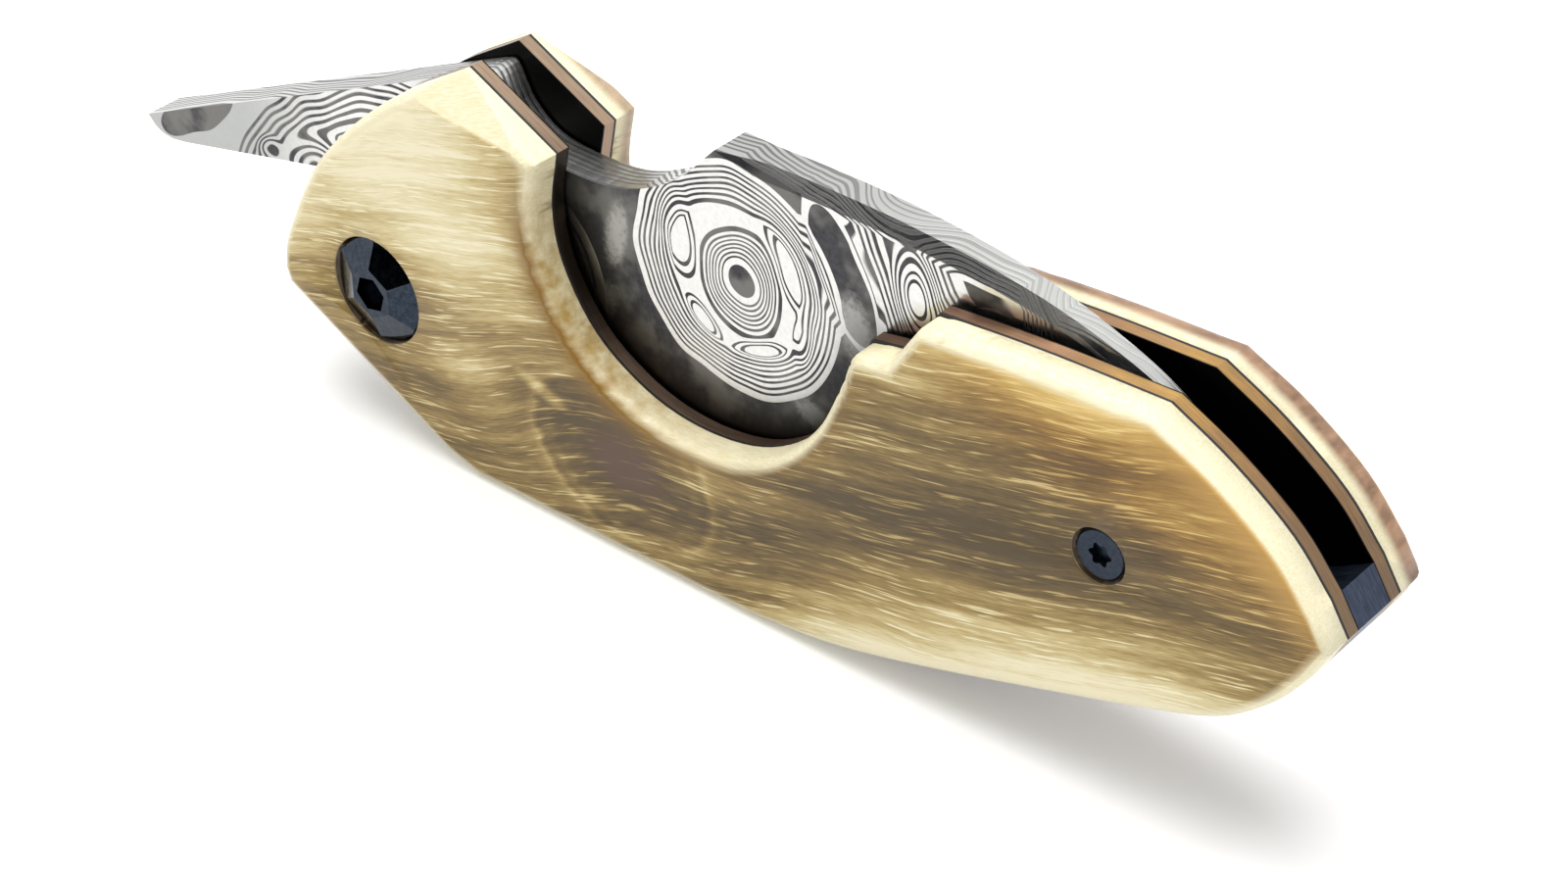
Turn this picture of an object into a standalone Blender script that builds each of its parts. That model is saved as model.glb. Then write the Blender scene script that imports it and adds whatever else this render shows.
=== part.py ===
"""Friction folder knife, folded and standing on the straight back edge of its handle.

Metres, +Z up. X runs along the handle with the butt at +X, and the side that shows in front is -Y.
Every outline is drawn from the pivot axis: x ahead of it towards the butt, z above it. The blade
turns about that axis, out of the handle and over to -X, until its tail lies along the back edge.
"""
import math

import bmesh
import bpy
from mathutils import Matrix, Vector

MM = 0.001

# Blade, folded
BLADE_REACH = 92.5 * MM      # pivot ahead to the tip
BLADE_RISE = 27.7 * MM       # pivot up to the spine
BLADE_DROP = 8.0 * MM        # pivot down to the heel of the edge
TAIL_REACH = 37.6 * MM       # pivot back to the end of the tail
BLADE_THICKNESS = 4.2 * MM
BOSS_OVERHANG = 1.2 * MM     # rim of the round boss about the pivot, past the heel's depth
SPINE_CHAMFER_HEIGHT = 1.4 * MM
SPINE_CHAMFER_RUN_IN = 5.0 * MM  # from the hump's corner to the chamfer's full height
EDGE_THICKNESS = 0.5 * MM    # left at the cutting edge

# Handle
BUTT_ROOM = 12.1 * MM        # tip of the folded blade to the butt
NOSE_REACH = 13.45 * MM      # pivot back to the round end of the handle
EAR_RISE = 26.6 * MM         # pivot up to the ear beside the thumb notch
BACK_DEPTH = 8.5 * MM        # heel of the edge down to the back edge of the handle
LINER_THICKNESS = 1.4 * MM
FIBRE_THICKNESS = 0.3 * MM
SCALE_THICKNESS = 3.4 * MM
SCALE_ROUND = 1.4 * MM       # radius of the scales' outer arris
EAR_RELIEF_DEPTH = 3.0 * MM  # taken off a scale at the ear's tip
SIDE_PLAY = 0.2 * MM         # blade to liner, each side
BACKSPACER_DEPTH = 6.6 * MM

# Pivot
BARREL_RADIUS = 3.0 * MM
BARREL_BORE_RADIUS = 2.0 * MM
PIVOT_HEAD_RADIUS = 5.35 * MM
PIVOT_HEAD_FLAT_RADIUS = 2.35 * MM
PIVOT_HEAD_PROUD = 0.8 * MM      # flat top above the scale
PIVOT_HEAD_SUNK = 0.5 * MM       # rim of each facet below the scale
PIVOT_SEAT_DEPTH = 1.9 * MM
PIVOT_SOCKET_RADIUS = 1.9 * MM   # across the corners of the hexagon
PIVOT_SOCKET_DEPTH = 1.6 * MM
PIVOT_SOCKET_TURN = math.radians(17)
WASHER_RADIUS = 7.4 * MM
WASHER_THICKNESS = 0.4 * MM
WASHER_GAP = 0.05 * MM           # washer to blade

# Rear screws
REAR_SHANK_RADIUS = 1.25 * MM
REAR_HEAD_RADIUS = 2.4 * MM
REAR_HEAD_THICKNESS = 1.25 * MM
REAR_HEAD_SUNK = 0.3 * MM
REAR_SOCKET_RADIUS = 1.15 * MM
REAR_SOCKET_DEPTH = 0.8 * MM
REAR_BOSS_WALL = 1.2 * MM        # backspacer left between the screw hole and its rim
HEAD_CHAMFER = 0.15 * MM

# Stop pin, dowels and liner screws
STOP_PIN_RADIUS = 1.8 * MM
DOWEL_RADIUS = 1.25 * MM
LINER_SHANK_RADIUS = 0.8 * MM
LINER_HEAD_RADIUS = 1.6 * MM
LINER_HEAD_THICKNESS = 0.85 * MM
LINER_THREAD_LENGTH = 1.6 * MM
LINER_SOCKET_RADIUS = 0.65 * MM
LINER_SOCKET_DEPTH = 0.45 * MM

# Clearances
FIT_GAP = 0.3 * MM           # round a pin, a head or a stop
SEAT_GAP = 0.02 * MM         # under a head, and behind a washer
EDGE_ROOM = 1.0 * MM         # cutting edge to the backspacer
OVERRUN = 1.0 * MM           # cutters past what they cut
WELD = 0.001 * MM

CURVE_STEPS = 5
ROUND_STEPS = 3
PIN_SIDES = 24
HEAD_SIDES = 48
SOCKET_LOBES = 6

# Places that follow from the sizes above
BUTT_REACH = BLADE_REACH + BUTT_ROOM
BACK_DROP = BLADE_DROP + BACK_DEPTH
BOSS_RADIUS = BLADE_DROP + BOSS_OVERHANG
BLADE_HALF = BLADE_THICKNESS / 2
LINER_INNER = BLADE_HALF + SIDE_PLAY
LINER_OUTER = LINER_INNER + LINER_THICKNESS
SCALE_INNER = LINER_OUTER + FIBRE_THICKNESS
SCALE_OUTER = SCALE_INNER + SCALE_THICKNESS
SIDES = {"near": -1, "far": 1}

# Outline points as (ahead, up). A negative share is taken of the reach behind, or of the drop below.
EAR_SHARES = [(0.105, 1.0), (0.203, 0.805)]
FINGER_GROOVE_SHARES = [(0.203, 0.805), (0.195, 0.586), (0.205, 0.376), (0.242, 0.154), (0.299, 0.015),
                        (0.358, -0.052), (0.420, -0.006), (0.469, 0.098), (0.507, 0.263),
                        (0.530, 0.451), (0.545, 0.628)]
STEP_SHARES = [(0.545, 0.628), (0.582, 0.655), (0.612, 0.838)]
MOUTH_SHARES = [(0.612, 0.838), (0.717, 0.8665), (0.830, 0.880)]
BUTT_TOP_SHARES = [(0.830, 0.880), (0.888, 0.762), (0.9445, 0.605), (0.982, 0.440)]
BUTT_CORNER_SHARES = [(0.982, 0.440), (1.0, 0.327)]
BUTT_BACK_SHARES = [(1.0, 0.327), (0.980, 0.177), (0.9465, 0.015), (0.894, -0.200), (0.772, -0.470),
                    (0.617, -0.782), (0.522, -0.935), (0.440, -1.0)]
BACK_SHARES = [(0.440, -1.0), (0.115, -1.0), (0.078, -0.933), (-0.952, -0.267), (-1.0, -0.150)]
NOSE_SHARES = [(-1.0, -0.150), (-0.926, 0.068), (-0.528, 0.440), (0.0167, 0.771), (0.105, 1.0)]

# The ear's relief: full thickness at the first two points, least at the last
EAR_RELIEF_SHARES = [(0.203, 0.805), (0.0526, 0.876), (0.105, 1.0)]
# Along the handle above the butt's corner: (ahead, share of the arris's radius)
ARRIS_SHARES = [(0.80, 1.0), (0.87, 0.40), (1.0, 0.25)]

TAIL_TOP_SHARES = [(-1.0, 0.119), (0.104, 0.887)]
THUMB_NOTCH_SHARES = [(0.104, 0.887), (0.121, 0.890), (0.144, 0.765), (0.187, 0.682), (0.274, 0.679),
                      (0.334, 0.750), (0.374, 0.845), (0.398, 0.932), (0.412, 0.982)]
SPINE_SHARES = [(0.412, 0.982), (0.497, 1.0), (0.627, 0.991), (0.757, 0.942), (0.859, 0.850),
                (0.932, 0.737), (1.0, 0.556)]
EDGE_SHARES = [(1.0, 0.556), (0.886, 0.437), (0.778, 0.238), (0.670, 0.058), (0.541, -0.375),
               (0.368, -0.875), (0.199, -1.0)]
CHOIL_SHARES = [(0.199, -1.0), (0.187, -0.82), (0.173, -1.0)]
TAIL_END_SHARES = [(-0.854, 0.072), (-0.915, 0.061), (-0.965, 0.076), (-1.0, 0.119)]

# Along the blade: (ahead, share of the full thickness there)
TAPER_SHARES = [(0.199, 1.02), (0.541, 1.02), (0.650, 0.95), (0.757, 0.83), (0.859, 0.62),
                (0.932, 0.48), (1.0, 0.14)]
# Along the blade: (ahead, height of the flat's lower border between the edge and the spine)
GRIND_BORDER_SHARES = [(0.199, 0.09), (0.368, 0.12), (0.480, 0.10), (0.541, 0.15), (0.580, 0.30),
                       (0.630, 0.60), (0.690, 0.86), (1.0, 0.86)]
SPINE_FLAT_SHARE = 0.67      # of the thickness beside it
LEAST_RUN_IN_SHARE = 0.04    # of the chamfer, left at the hump's corner
TIP_CHAMFER_SHARE = 0.40     # most of the blade's height that the spine's chamfer takes
SOCKET_LOBE_SHARE = 0.14     # how far a lobe stands out of the socket's mean circle

STOP_PIN_SHARE = 0.168       # along the blade
FRONT_DOWEL_SHARE = 0.28     # along the backspacer's front arm
FRONT_SCREW_SHARE = 0.65
REAR_DOWEL_SHARES = (0.895, -0.02)
REAR_LINER_SCREW_SHARES = (0.700, -0.36)
REAR_SCREW_SHARE = 0.94      # between the edge's second and third points
BACKSPACER_TOP_SHARES = [(0.982, 0.440), (0.938, 0.335), (0.872, 0.355)]
BACKSPACER_NECK_SHARES = [(0.748, 0.02), (0.690, -0.22), (0.560, -0.50)]


def clear_scene():
    for item in list(bpy.data.objects):
        bpy.data.objects.remove(item, do_unlink=True)


def new_collection(name):
    collection = bpy.data.collections.new(name)
    bpy.context.scene.collection.children.link(collection)
    return collection


def new_material(name, colour, roughness, metallic):
    material = bpy.data.materials.new(name)
    material.use_nodes = True
    shader = material.node_tree.nodes["Principled BSDF"]
    shader.inputs["Base Color"].default_value = (*colour, 1.0)
    shader.inputs["Roughness"].default_value = roughness
    shader.inputs["Metallic"].default_value = metallic
    return material


def placed(shares, ahead, behind, rise, drop):
    """Turn (ahead, up) shares into points in metres."""
    return [(x * (ahead if x > 0 else behind), z * (rise if z > 0 else drop)) for x, z in shares]


def handle_points(shares):
    return placed(shares, BUTT_REACH, NOSE_REACH, EAR_RISE, BACK_DROP)


def blade_points(shares):
    return placed(shares, BLADE_REACH, TAIL_REACH, BLADE_RISE, BLADE_DROP)


def bend(points):
    """A smooth line through the points, both ends included."""
    first = (2 * points[0][0] - points[1][0], 2 * points[0][1] - points[1][1])
    last = (2 * points[-1][0] - points[-2][0], 2 * points[-1][1] - points[-2][1])
    held = [first, *points, last]
    line = []
    for before, start, end, after in zip(held, held[1:], held[2:], held[3:]):
        for step in range(CURVE_STEPS):
            t = step / CURVE_STEPS
            line.append(tuple(
                b + t * (c - a) / 2 + t * t * (a - 2.5 * b + 2 * c - d / 2)
                + t * t * t * (1.5 * (b - c) + (d - a) / 2)
                for a, b, c, d in zip(before, start, end, after)))
    return [*line, points[-1]]


def arc(centre, radius, start, end, steps):
    """Points on a circle from one angle to another, both ends included."""
    turn = (end - start) / steps
    return [(centre[0] + radius * math.cos(start + turn * step),
             centre[1] + radius * math.sin(start + turn * step)) for step in range(steps + 1)]


def joined(*runs):
    """One closed outline from runs that each start where the last one ended."""
    return [point for run in runs for point in run[:-1]]


def height_at(line, x):
    """Height of a line at x, between the two of its points beside x."""
    points = sorted(line)
    x = min(max(x, points[0][0]), points[-1][0])
    for (x_low, z_low), (x_high, z_high) in zip(points, points[1:]):
        if x <= x_high:
            return z_low + (z_high - z_low) * (x - x_low) / (x_high - x_low)
    return points[-1][1]


def turned_open(point, angle):
    """Where a point of the folded blade goes when the blade has turned by angle."""
    x, z = point
    return (x * math.cos(angle) - z * math.sin(angle), x * math.sin(angle) + z * math.cos(angle))


def add_object(name, mesh, collection, material, axis):
    item = bpy.data.objects.new(name, mesh)
    collection.objects.link(item)
    item.parent = axis
    if material:
        mesh.materials.clear()
        mesh.materials.append(material)
    return item


def hide_cutter(item):
    item.hide_render = True
    item.display_type = "WIRE"
    return item


def plate_mesh(name, outline, y_low, y_high):
    """A flat outline in the XZ plane, as thick as from y_low to y_high."""
    curve = bpy.data.curves.new(name, "CURVE")
    curve.dimensions = "2D"
    curve.fill_mode = "BOTH"
    curve.extrude = abs(y_high - y_low) / 2
    spline = curve.splines.new("POLY")
    spline.points.add(len(outline) - 1)
    for point, (x, z) in zip(spline.points, outline):
        point.co = (x, z, 0, 1)
    spline.use_cyclic_u = True
    drawing = bpy.data.objects.new(name, curve)
    bpy.context.scene.collection.objects.link(drawing)
    depsgraph = bpy.context.evaluated_depsgraph_get()
    mesh = bpy.data.meshes.new_from_object(drawing.evaluated_get(depsgraph))
    bpy.data.objects.remove(drawing)
    bpy.data.curves.remove(curve)
    mesh.transform(Matrix.Translation((0, (y_low + y_high) / 2, 0)) @ Matrix.Rotation(math.pi / 2, 4, "X"))
    work = bmesh.new()
    work.from_mesh(mesh)
    bmesh.ops.remove_doubles(work, verts=work.verts, dist=WELD)
    bmesh.ops.dissolve_limit(work, angle_limit=math.radians(0.1), verts=work.verts, edges=work.edges)
    bmesh.ops.recalc_face_normals(work, faces=work.faces)
    work.to_mesh(mesh)
    work.free()
    return mesh


def round_arris(item, y_face, butt_corner):
    """Round the rim of the scale's outer face, and less so towards the butt's corner."""
    shares = [(x * BUTT_REACH, share) for x, share in ARRIS_SHARES]
    work = bmesh.new()
    work.from_mesh(item.data)
    weights = work.edges.layers.float.new("bevel_weight_edge")
    for edge in work.edges:
        if all(abs(vert.co.y - y_face) < WELD for vert in edge.verts):
            middle = (edge.verts[0].co + edge.verts[1].co) / 2
            edge[weights] = height_at(shares, middle.x) if middle.z > butt_corner[1] else 1
    work.to_mesh(item.data)
    work.free()
    arris = item.modifiers.new("arris", "BEVEL")
    arris.limit_method = "WEIGHT"
    arris.width = SCALE_ROUND
    arris.segments = ROUND_STEPS
    arris.use_clamp_overlap = False


def relief_cutter(side, cutters, axis):
    """What is ground off a scale at the ear, down to a plane through three points."""
    depths = (0, 0, EAR_RELIEF_DEPTH)
    a, b, c = (Vector((x, side * (SCALE_OUTER - depth), z))
               for (x, z), depth in zip(handle_points(EAR_RELIEF_SHARES), depths))
    outward = (b - a).cross(c - a).normalized()
    if outward.y * side < 0:
        outward.negate()
    span = 2 * (a - b).length
    mesh = bpy.data.meshes.new("ear_relief")
    work = bmesh.new()
    place = Matrix.Translation((a + b) / 2 + outward * span / 2)
    turn = outward.to_track_quat("Z", "Y").to_matrix().to_4x4()
    bmesh.ops.create_cube(work, size=span, matrix=place @ turn)
    work.to_mesh(mesh)
    work.free()
    return hide_cutter(add_object("ear_relief", mesh, cutters, None, axis))


def cylinder_mesh(name, radius, y_low, y_high, place, sides=PIN_SIDES, top_radius=None, turn=0):
    """A cylinder, prism or cone frustum along Y, with its first corner straight up at turn 0."""
    mesh = bpy.data.meshes.new(name)
    work = bmesh.new()
    length = y_high - y_low
    lift = Matrix.Translation((place[0], (y_low + y_high) / 2, place[1]))
    stand = Matrix.Rotation(-math.pi / 2, 4, "X") @ Matrix.Rotation(turn, 4, "Z")
    bmesh.ops.create_cone(work, cap_ends=True, segments=sides, radius1=radius,
                          radius2=radius if top_radius is None else top_radius,
                          depth=length, matrix=lift @ stand)
    bmesh.ops.recalc_face_normals(work, faces=work.faces)
    work.to_mesh(mesh)
    work.free()
    return mesh


def lobed_outline(place, radius):
    """A socket with round lobes."""
    steps = SOCKET_LOBES * 8
    points = []
    for step in range(steps):
        angle = 2 * math.pi * step / steps
        reach = radius * (1 - SOCKET_LOBE_SHARE * (1 - math.cos(SOCKET_LOBES * angle)))
        points.append((place[0] + reach * math.cos(angle), place[1] + reach * math.sin(angle)))
    return points


def turned_part(name, profile, side, place, collection, material, axis):
    """A turned piece: profile of (radius, height), with heights measured outwards along Y."""
    mesh = bpy.data.meshes.new(name)
    mesh.from_pydata([(radius, 0, height) for radius, height in profile],
                     [(i, i + 1) for i in range(len(profile) - 1)], [])
    item = add_object(name, mesh, collection, material, axis)
    item.location = (place[0], 0, place[1])
    item.rotation_euler = (-side * math.pi / 2, 0, 0)
    screw = item.modifiers.new("turn", "SCREW")
    screw.axis = "Z"
    screw.steps = HEAD_SIDES
    screw.render_steps = HEAD_SIDES
    screw.use_merge_vertices = True
    screw.merge_threshold = WELD
    screw.use_normal_calculate = True
    screw.use_smooth_shade = False
    return item


def boolean(item, cutter, operation="DIFFERENCE"):
    cut = item.modifiers.new(cutter.name, "BOOLEAN")
    cut.operation = operation
    cut.solver = "EXACT"
    cut.object = cutter


def strip_cutter_mesh(name, stations):
    """A closed solid through rings of (y, z) points, one ring for each x."""
    mesh = bpy.data.meshes.new(name)
    work = bmesh.new()
    rings = [[work.verts.new((x, y, z)) for y, z in ring] for x, ring in stations]
    for ring, following in zip(rings, rings[1:]):
        for i, vert in enumerate(ring):
            j = (i + 1) % len(ring)
            work.faces.new((vert, ring[j], following[j], following[i]))
    work.faces.new(rings[0])
    work.faces.new(rings[-1])
    bmesh.ops.recalc_face_normals(work, faces=work.faces)
    work.to_mesh(mesh)
    work.free()
    return mesh


def blade_lines():
    """The blade's outline, its spine, its edge, and the tail's inner line."""
    spine = bend(blade_points(SPINE_SHARES))
    edge = bend(blade_points(EDGE_SHARES))
    choil = bend(blade_points(CHOIL_SHARES))
    tail_end = bend(blade_points(TAIL_END_SHARES))
    tail_root_angle = (math.atan2(tail_end[0][1], tail_end[0][0])
                       - math.acos(BOSS_RADIUS / math.hypot(*tail_end[0])))
    kick_angle = -math.asin(BLADE_DROP / BOSS_RADIUS)
    boss = arc((0, 0), BOSS_RADIUS, kick_angle, tail_root_angle - 2 * math.pi, HEAD_SIDES)
    kick = [choil[-1], boss[0]]
    tail_inner = [boss[-1], tail_end[0]]
    outline = joined(blade_points(TAIL_TOP_SHARES), bend(blade_points(THUMB_NOTCH_SHARES)), spine, edge,
                     choil, kick, boss, tail_inner, tail_end)
    return outline, spine, edge, tail_inner


def grind_cutter(side, spine, edge, cutters, axis):
    """What the grinder takes off one side, between the flat and the cutting edge."""
    taper = [(x * BLADE_REACH, share) for x, share in TAPER_SHARES]
    border = [(x * BLADE_REACH, share) for x, share in GRIND_BORDER_SHARES]
    outside = BLADE_HALF + OVERRUN
    stations = []
    for x, low in reversed(edge):
        half = BLADE_HALF * height_at(taper, x)
        middle = low + (height_at(spine, x) - low) * height_at(border, x)
        slope = (half - EDGE_THICKNESS / 2) / max(middle - low, WELD)
        dip = min(OVERRUN, EDGE_THICKNESS / 4 / slope)
        ring = [(EDGE_THICKNESS / 2 - slope * dip, low - dip), (half, middle + WELD),
                (half, BLADE_RISE + OVERRUN), (outside, BLADE_RISE + OVERRUN), (outside, low - dip)]
        stations.append((x, [(side * y, z) for y, z in ring]))
    stations.append((edge[0][0] + OVERRUN, stations[-1][1]))
    return hide_cutter(add_object("grind", strip_cutter_mesh("grind", stations), cutters, None, axis))


def spine_cutter(side, spine, edge, cutters, axis):
    """The long chamfer beside the spine, from the hump to the tip."""
    taper = [(x * BLADE_REACH, share) for x, share in TAPER_SHARES]
    stations = []
    for x, top in spine:
        body = BLADE_HALF * min(height_at(taper, x), 1)
        run_in = max(min((x - spine[0][0]) / SPINE_CHAMFER_RUN_IN, 1), LEAST_RUN_IN_SHARE)
        flat = body * (1 - (1 - SPINE_FLAT_SHARE) * run_in)
        chamfer = run_in * min(SPINE_CHAMFER_HEIGHT, max(top - height_at(edge, x), WELD) * TIP_CHAMFER_SHARE)
        past = chamfer / 4
        lean = (body - flat) / chamfer
        high, low = top + past, top - chamfer - past
        ring = [(flat - lean * past, high), (body + lean * past, low),
                (BLADE_HALF + OVERRUN, low), (BLADE_HALF + OVERRUN, high)]
        stations.append((x, [(side * y, z) for y, z in ring]))
    stations.insert(0, (spine[0][0] - OVERRUN, stations[0][1]))
    stations.append((spine[-1][0] + OVERRUN, stations[-1][1]))
    return hide_cutter(add_object("chamfer", strip_cutter_mesh("chamfer", stations), cutters, None, axis))


def hole(name, radius, y_low, y_high, place, cutters, axis, sides=PIN_SIDES, turn=0):
    mesh = cylinder_mesh(name, radius, y_low, y_high, place, sides=sides, turn=turn)
    return hide_cutter(add_object(name, mesh, cutters, None, axis))


def build_knife():
    clear_scene()
    pieces = new_collection("friction_folder_knife")
    cutters = new_collection("cutters")
    axis = bpy.data.objects.new("pivot_axis", None)
    pieces.objects.link(axis)
    axis.location = ((TAIL_REACH - BUTT_REACH) / 2, 0, BACK_DROP)

    damascus = new_material("damascus_steel", (0.50, 0.50, 0.50), 0.35, 1.0)
    bronze_titanium = new_material("bronze_anodised_titanium", (0.46, 0.32, 0.22), 0.40, 1.0)
    ivory = new_material("fossil_ivory", (0.70, 0.60, 0.38), 0.30, 0.0)
    black_fibre = new_material("black_fibre", (0.02, 0.02, 0.02), 0.60, 0.0)
    blued_titanium = new_material("blued_titanium", (0.05, 0.06, 0.10), 0.35, 1.0)
    black_steel = new_material("polished_black_steel", (0.04, 0.045, 0.06), 0.15, 1.0)
    dowel_steel = new_material("dowel_steel", (0.55, 0.55, 0.55), 0.30, 1.0)
    phosphor_bronze = new_material("phosphor_bronze", (0.60, 0.38, 0.18), 0.35, 1.0)

    # Blade
    outline, spine, edge, tail_inner = blade_lines()
    blade = add_object("blade", plate_mesh("blade", outline, -BLADE_HALF, BLADE_HALF), pieces, damascus, axis)
    for side in SIDES.values():
        boolean(blade, grind_cutter(side, spine, edge, cutters, axis))
        boolean(blade, spine_cutter(side, spine, edge, cutters, axis))
    through = SCALE_OUTER + OVERRUN
    pivot = (0, 0)
    pivot_hole = hole("pivot_hole", BARREL_RADIUS + FIT_GAP, -through, through, pivot, cutters, axis,
                      sides=HEAD_SIDES)
    boolean(blade, pivot_hole)

    # Where the open blade's tail comes to lie, and the places of pins and screws
    tail_top = blade_points(TAIL_TOP_SHARES)
    open_angle = math.pi - math.atan2(tail_top[1][1] - tail_top[0][1], tail_top[1][0] - tail_top[0][0])
    tail_tip_open = turned_open(tail_top[0], open_angle)
    edge_points = blade_points(EDGE_SHARES)
    foot = [a + (b - a) * (1 - REAR_SCREW_SHARE) for a, b in zip(edge_points[1], edge_points[2])]
    run = (edge_points[1][0] - edge_points[2][0], edge_points[1][1] - edge_points[2][1])
    rear_hole_radius = REAR_SHANK_RADIUS + FIT_GAP
    rear_boss_radius = rear_hole_radius + REAR_BOSS_WALL
    inset = (EDGE_ROOM + rear_boss_radius) / math.hypot(*run)
    rear_screw = (foot[0] + run[1] * inset, foot[1] - run[0] * inset)
    stop_pin = (STOP_PIN_SHARE * BLADE_REACH, -BLADE_DROP - FIT_GAP - STOP_PIN_RADIUS)
    back_middle = -BACK_DROP + BACKSPACER_DEPTH / 2
    front = tail_tip_open[0] + FIT_GAP + SEAT_GAP
    neck = bend(handle_points(BACKSPACER_NECK_SHARES))
    arm = neck[-1][0] - front
    front_dowel = (front + FRONT_DOWEL_SHARE * arm, back_middle)
    front_screw = (front + FRONT_SCREW_SHARE * arm, back_middle)
    rear_dowel, rear_liner_screw = handle_points([REAR_DOWEL_SHARES, REAR_LINER_SCREW_SHARES])

    # Holes through the liners, the backspacer, the fibre and the scales
    stop_hole = hole("stop_hole", STOP_PIN_RADIUS + FIT_GAP, -through, through, stop_pin, cutters, axis)
    rear_hole = hole("rear_hole", rear_hole_radius, -through, through, rear_screw, cutters, axis)
    dowel_holes = [hole("dowel_hole", DOWEL_RADIUS + FIT_GAP, -through, through, place, cutters, axis)
                   for place in (front_dowel, rear_dowel)]
    screw_holes = [hole("screw_hole", LINER_SHANK_RADIUS + FIT_GAP, -through, through, place, cutters, axis)
                   for place in (front_screw, rear_liner_screw)]

    # Backspacer
    butt_back = bend(handle_points(BUTT_BACK_SHARES))
    butt_corner = handle_points(BUTT_CORNER_SHARES)
    slope = math.atan2(run[1], run[0])
    boss_rim = arc(rear_screw, rear_boss_radius, slope + math.radians(40), slope + math.radians(160),
                   PIN_SIDES // 2)
    arm_top = [(front_dowel[0], -BACK_DROP + BACKSPACER_DEPTH), (front, -BACK_DROP + BACKSPACER_DEPTH)]
    arm_front = [(front, -BACK_DROP), butt_back[-1]]
    top = handle_points(BACKSPACER_TOP_SHARES)
    backspacer_outline = [*butt_corner[::-1], *top[1:], *boss_rim, *neck, *arm_top, *arm_front,
                          *butt_back[-2:0:-1]]
    backspacer = add_object("backspacer", plate_mesh("backspacer", backspacer_outline, -LINER_INNER,
                                                     LINER_INNER), pieces, blued_titanium, axis)
    for cutter in (rear_hole, *dowel_holes, *screw_holes):
        boolean(backspacer, cutter)

    # Liners, fibre and scales
    handle_outline = joined(handle_points(EAR_SHARES), bend(handle_points(FINGER_GROOVE_SHARES)),
                            handle_points(STEP_SHARES), bend(handle_points(MOUTH_SHARES)),
                            bend(handle_points(BUTT_TOP_SHARES)), butt_corner, butt_back,
                            handle_points(BACK_SHARES), bend(handle_points(NOSE_SHARES)))
    pocket = BLADE_HALF + WASHER_GAP + WASHER_THICKNESS + SEAT_GAP
    pivot_floor = SCALE_OUTER - PIVOT_SEAT_DEPTH
    rear_floor = SCALE_OUTER - REAR_HEAD_SUNK - REAR_HEAD_THICKNESS
    screw_floor = LINER_OUTER - LINER_HEAD_THICKNESS - SEAT_GAP
    for name, side in SIDES.items():
        liner = add_object("liner_" + name, plate_mesh("liner", handle_outline, side * LINER_INNER,
                                                       side * LINER_OUTER), pieces, bronze_titanium, axis)
        washer_pocket = hole("washer_pocket", WASHER_RADIUS + FIT_GAP, 0, side * pocket, pivot, cutters,
                             axis, sides=HEAD_SIDES)
        screw_seats = [hole("screw_seat", LINER_HEAD_RADIUS + FIT_GAP, side * screw_floor,
                            side * (LINER_OUTER + OVERRUN), place, cutters, axis)
                       for place in (front_screw, rear_liner_screw)]
        for cutter in (pivot_hole, washer_pocket, stop_hole, rear_hole, *dowel_holes, *screw_holes,
                       *screw_seats):
            boolean(liner, cutter)

        fibre = add_object("fibre_" + name, plate_mesh("fibre", handle_outline, side * LINER_OUTER,
                                                       side * SCALE_INNER), pieces, black_fibre, axis)
        scale_mesh = plate_mesh("scale", handle_outline, side * SCALE_INNER, side * SCALE_OUTER)
        scale = add_object("scale_" + name, scale_mesh, pieces, ivory, axis)
        round_arris(scale, side * SCALE_OUTER, butt_corner[-1])
        boolean(scale, relief_cutter(side, cutters, axis))
        pivot_seat = hole("pivot_seat", PIVOT_HEAD_RADIUS + FIT_GAP, side * pivot_floor, side * through,
                          pivot, cutters, axis, sides=HEAD_SIDES)
        rear_seat = hole("rear_seat", REAR_HEAD_RADIUS + FIT_GAP, side * rear_floor, side * through,
                         rear_screw, cutters, axis, sides=HEAD_SIDES)
        for piece in (fibre, scale):
            boolean(piece, pivot_hole)
            boolean(piece, rear_hole)
        boolean(scale, pivot_seat)
        boolean(scale, rear_seat)

        # Bearing washer
        washer = add_object("washer_" + name, cylinder_mesh("washer", WASHER_RADIUS,
                            side * (BLADE_HALF + WASHER_GAP), side * (pocket - SEAT_GAP), pivot,
                            sides=HEAD_SIDES), pieces, phosphor_bronze, axis)
        boolean(washer, pivot_hole)

        # Rear screw, with a head that sits just below the scale's face
        head_top = rear_floor + REAR_HEAD_THICKNESS
        shank_end = FIT_GAP
        head_foot = rear_floor + SEAT_GAP
        screw = turned_part("rear_screw_" + name,
                            [(0, head_top), (REAR_HEAD_RADIUS - HEAD_CHAMFER, head_top),
                             (REAR_HEAD_RADIUS, head_top - HEAD_CHAMFER), (REAR_HEAD_RADIUS, head_foot),
                             (REAR_SHANK_RADIUS, head_foot), (REAR_SHANK_RADIUS, shank_end),
                             (0, shank_end)], side, rear_screw, pieces, black_steel, axis)
        lobes = plate_mesh("lobes", lobed_outline(rear_screw, REAR_SOCKET_RADIUS),
                           side * (head_top - REAR_SOCKET_DEPTH), side * (head_top + OVERRUN))
        boolean(screw, hide_cutter(add_object("lobes", lobes, cutters, None, axis)))

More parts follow.
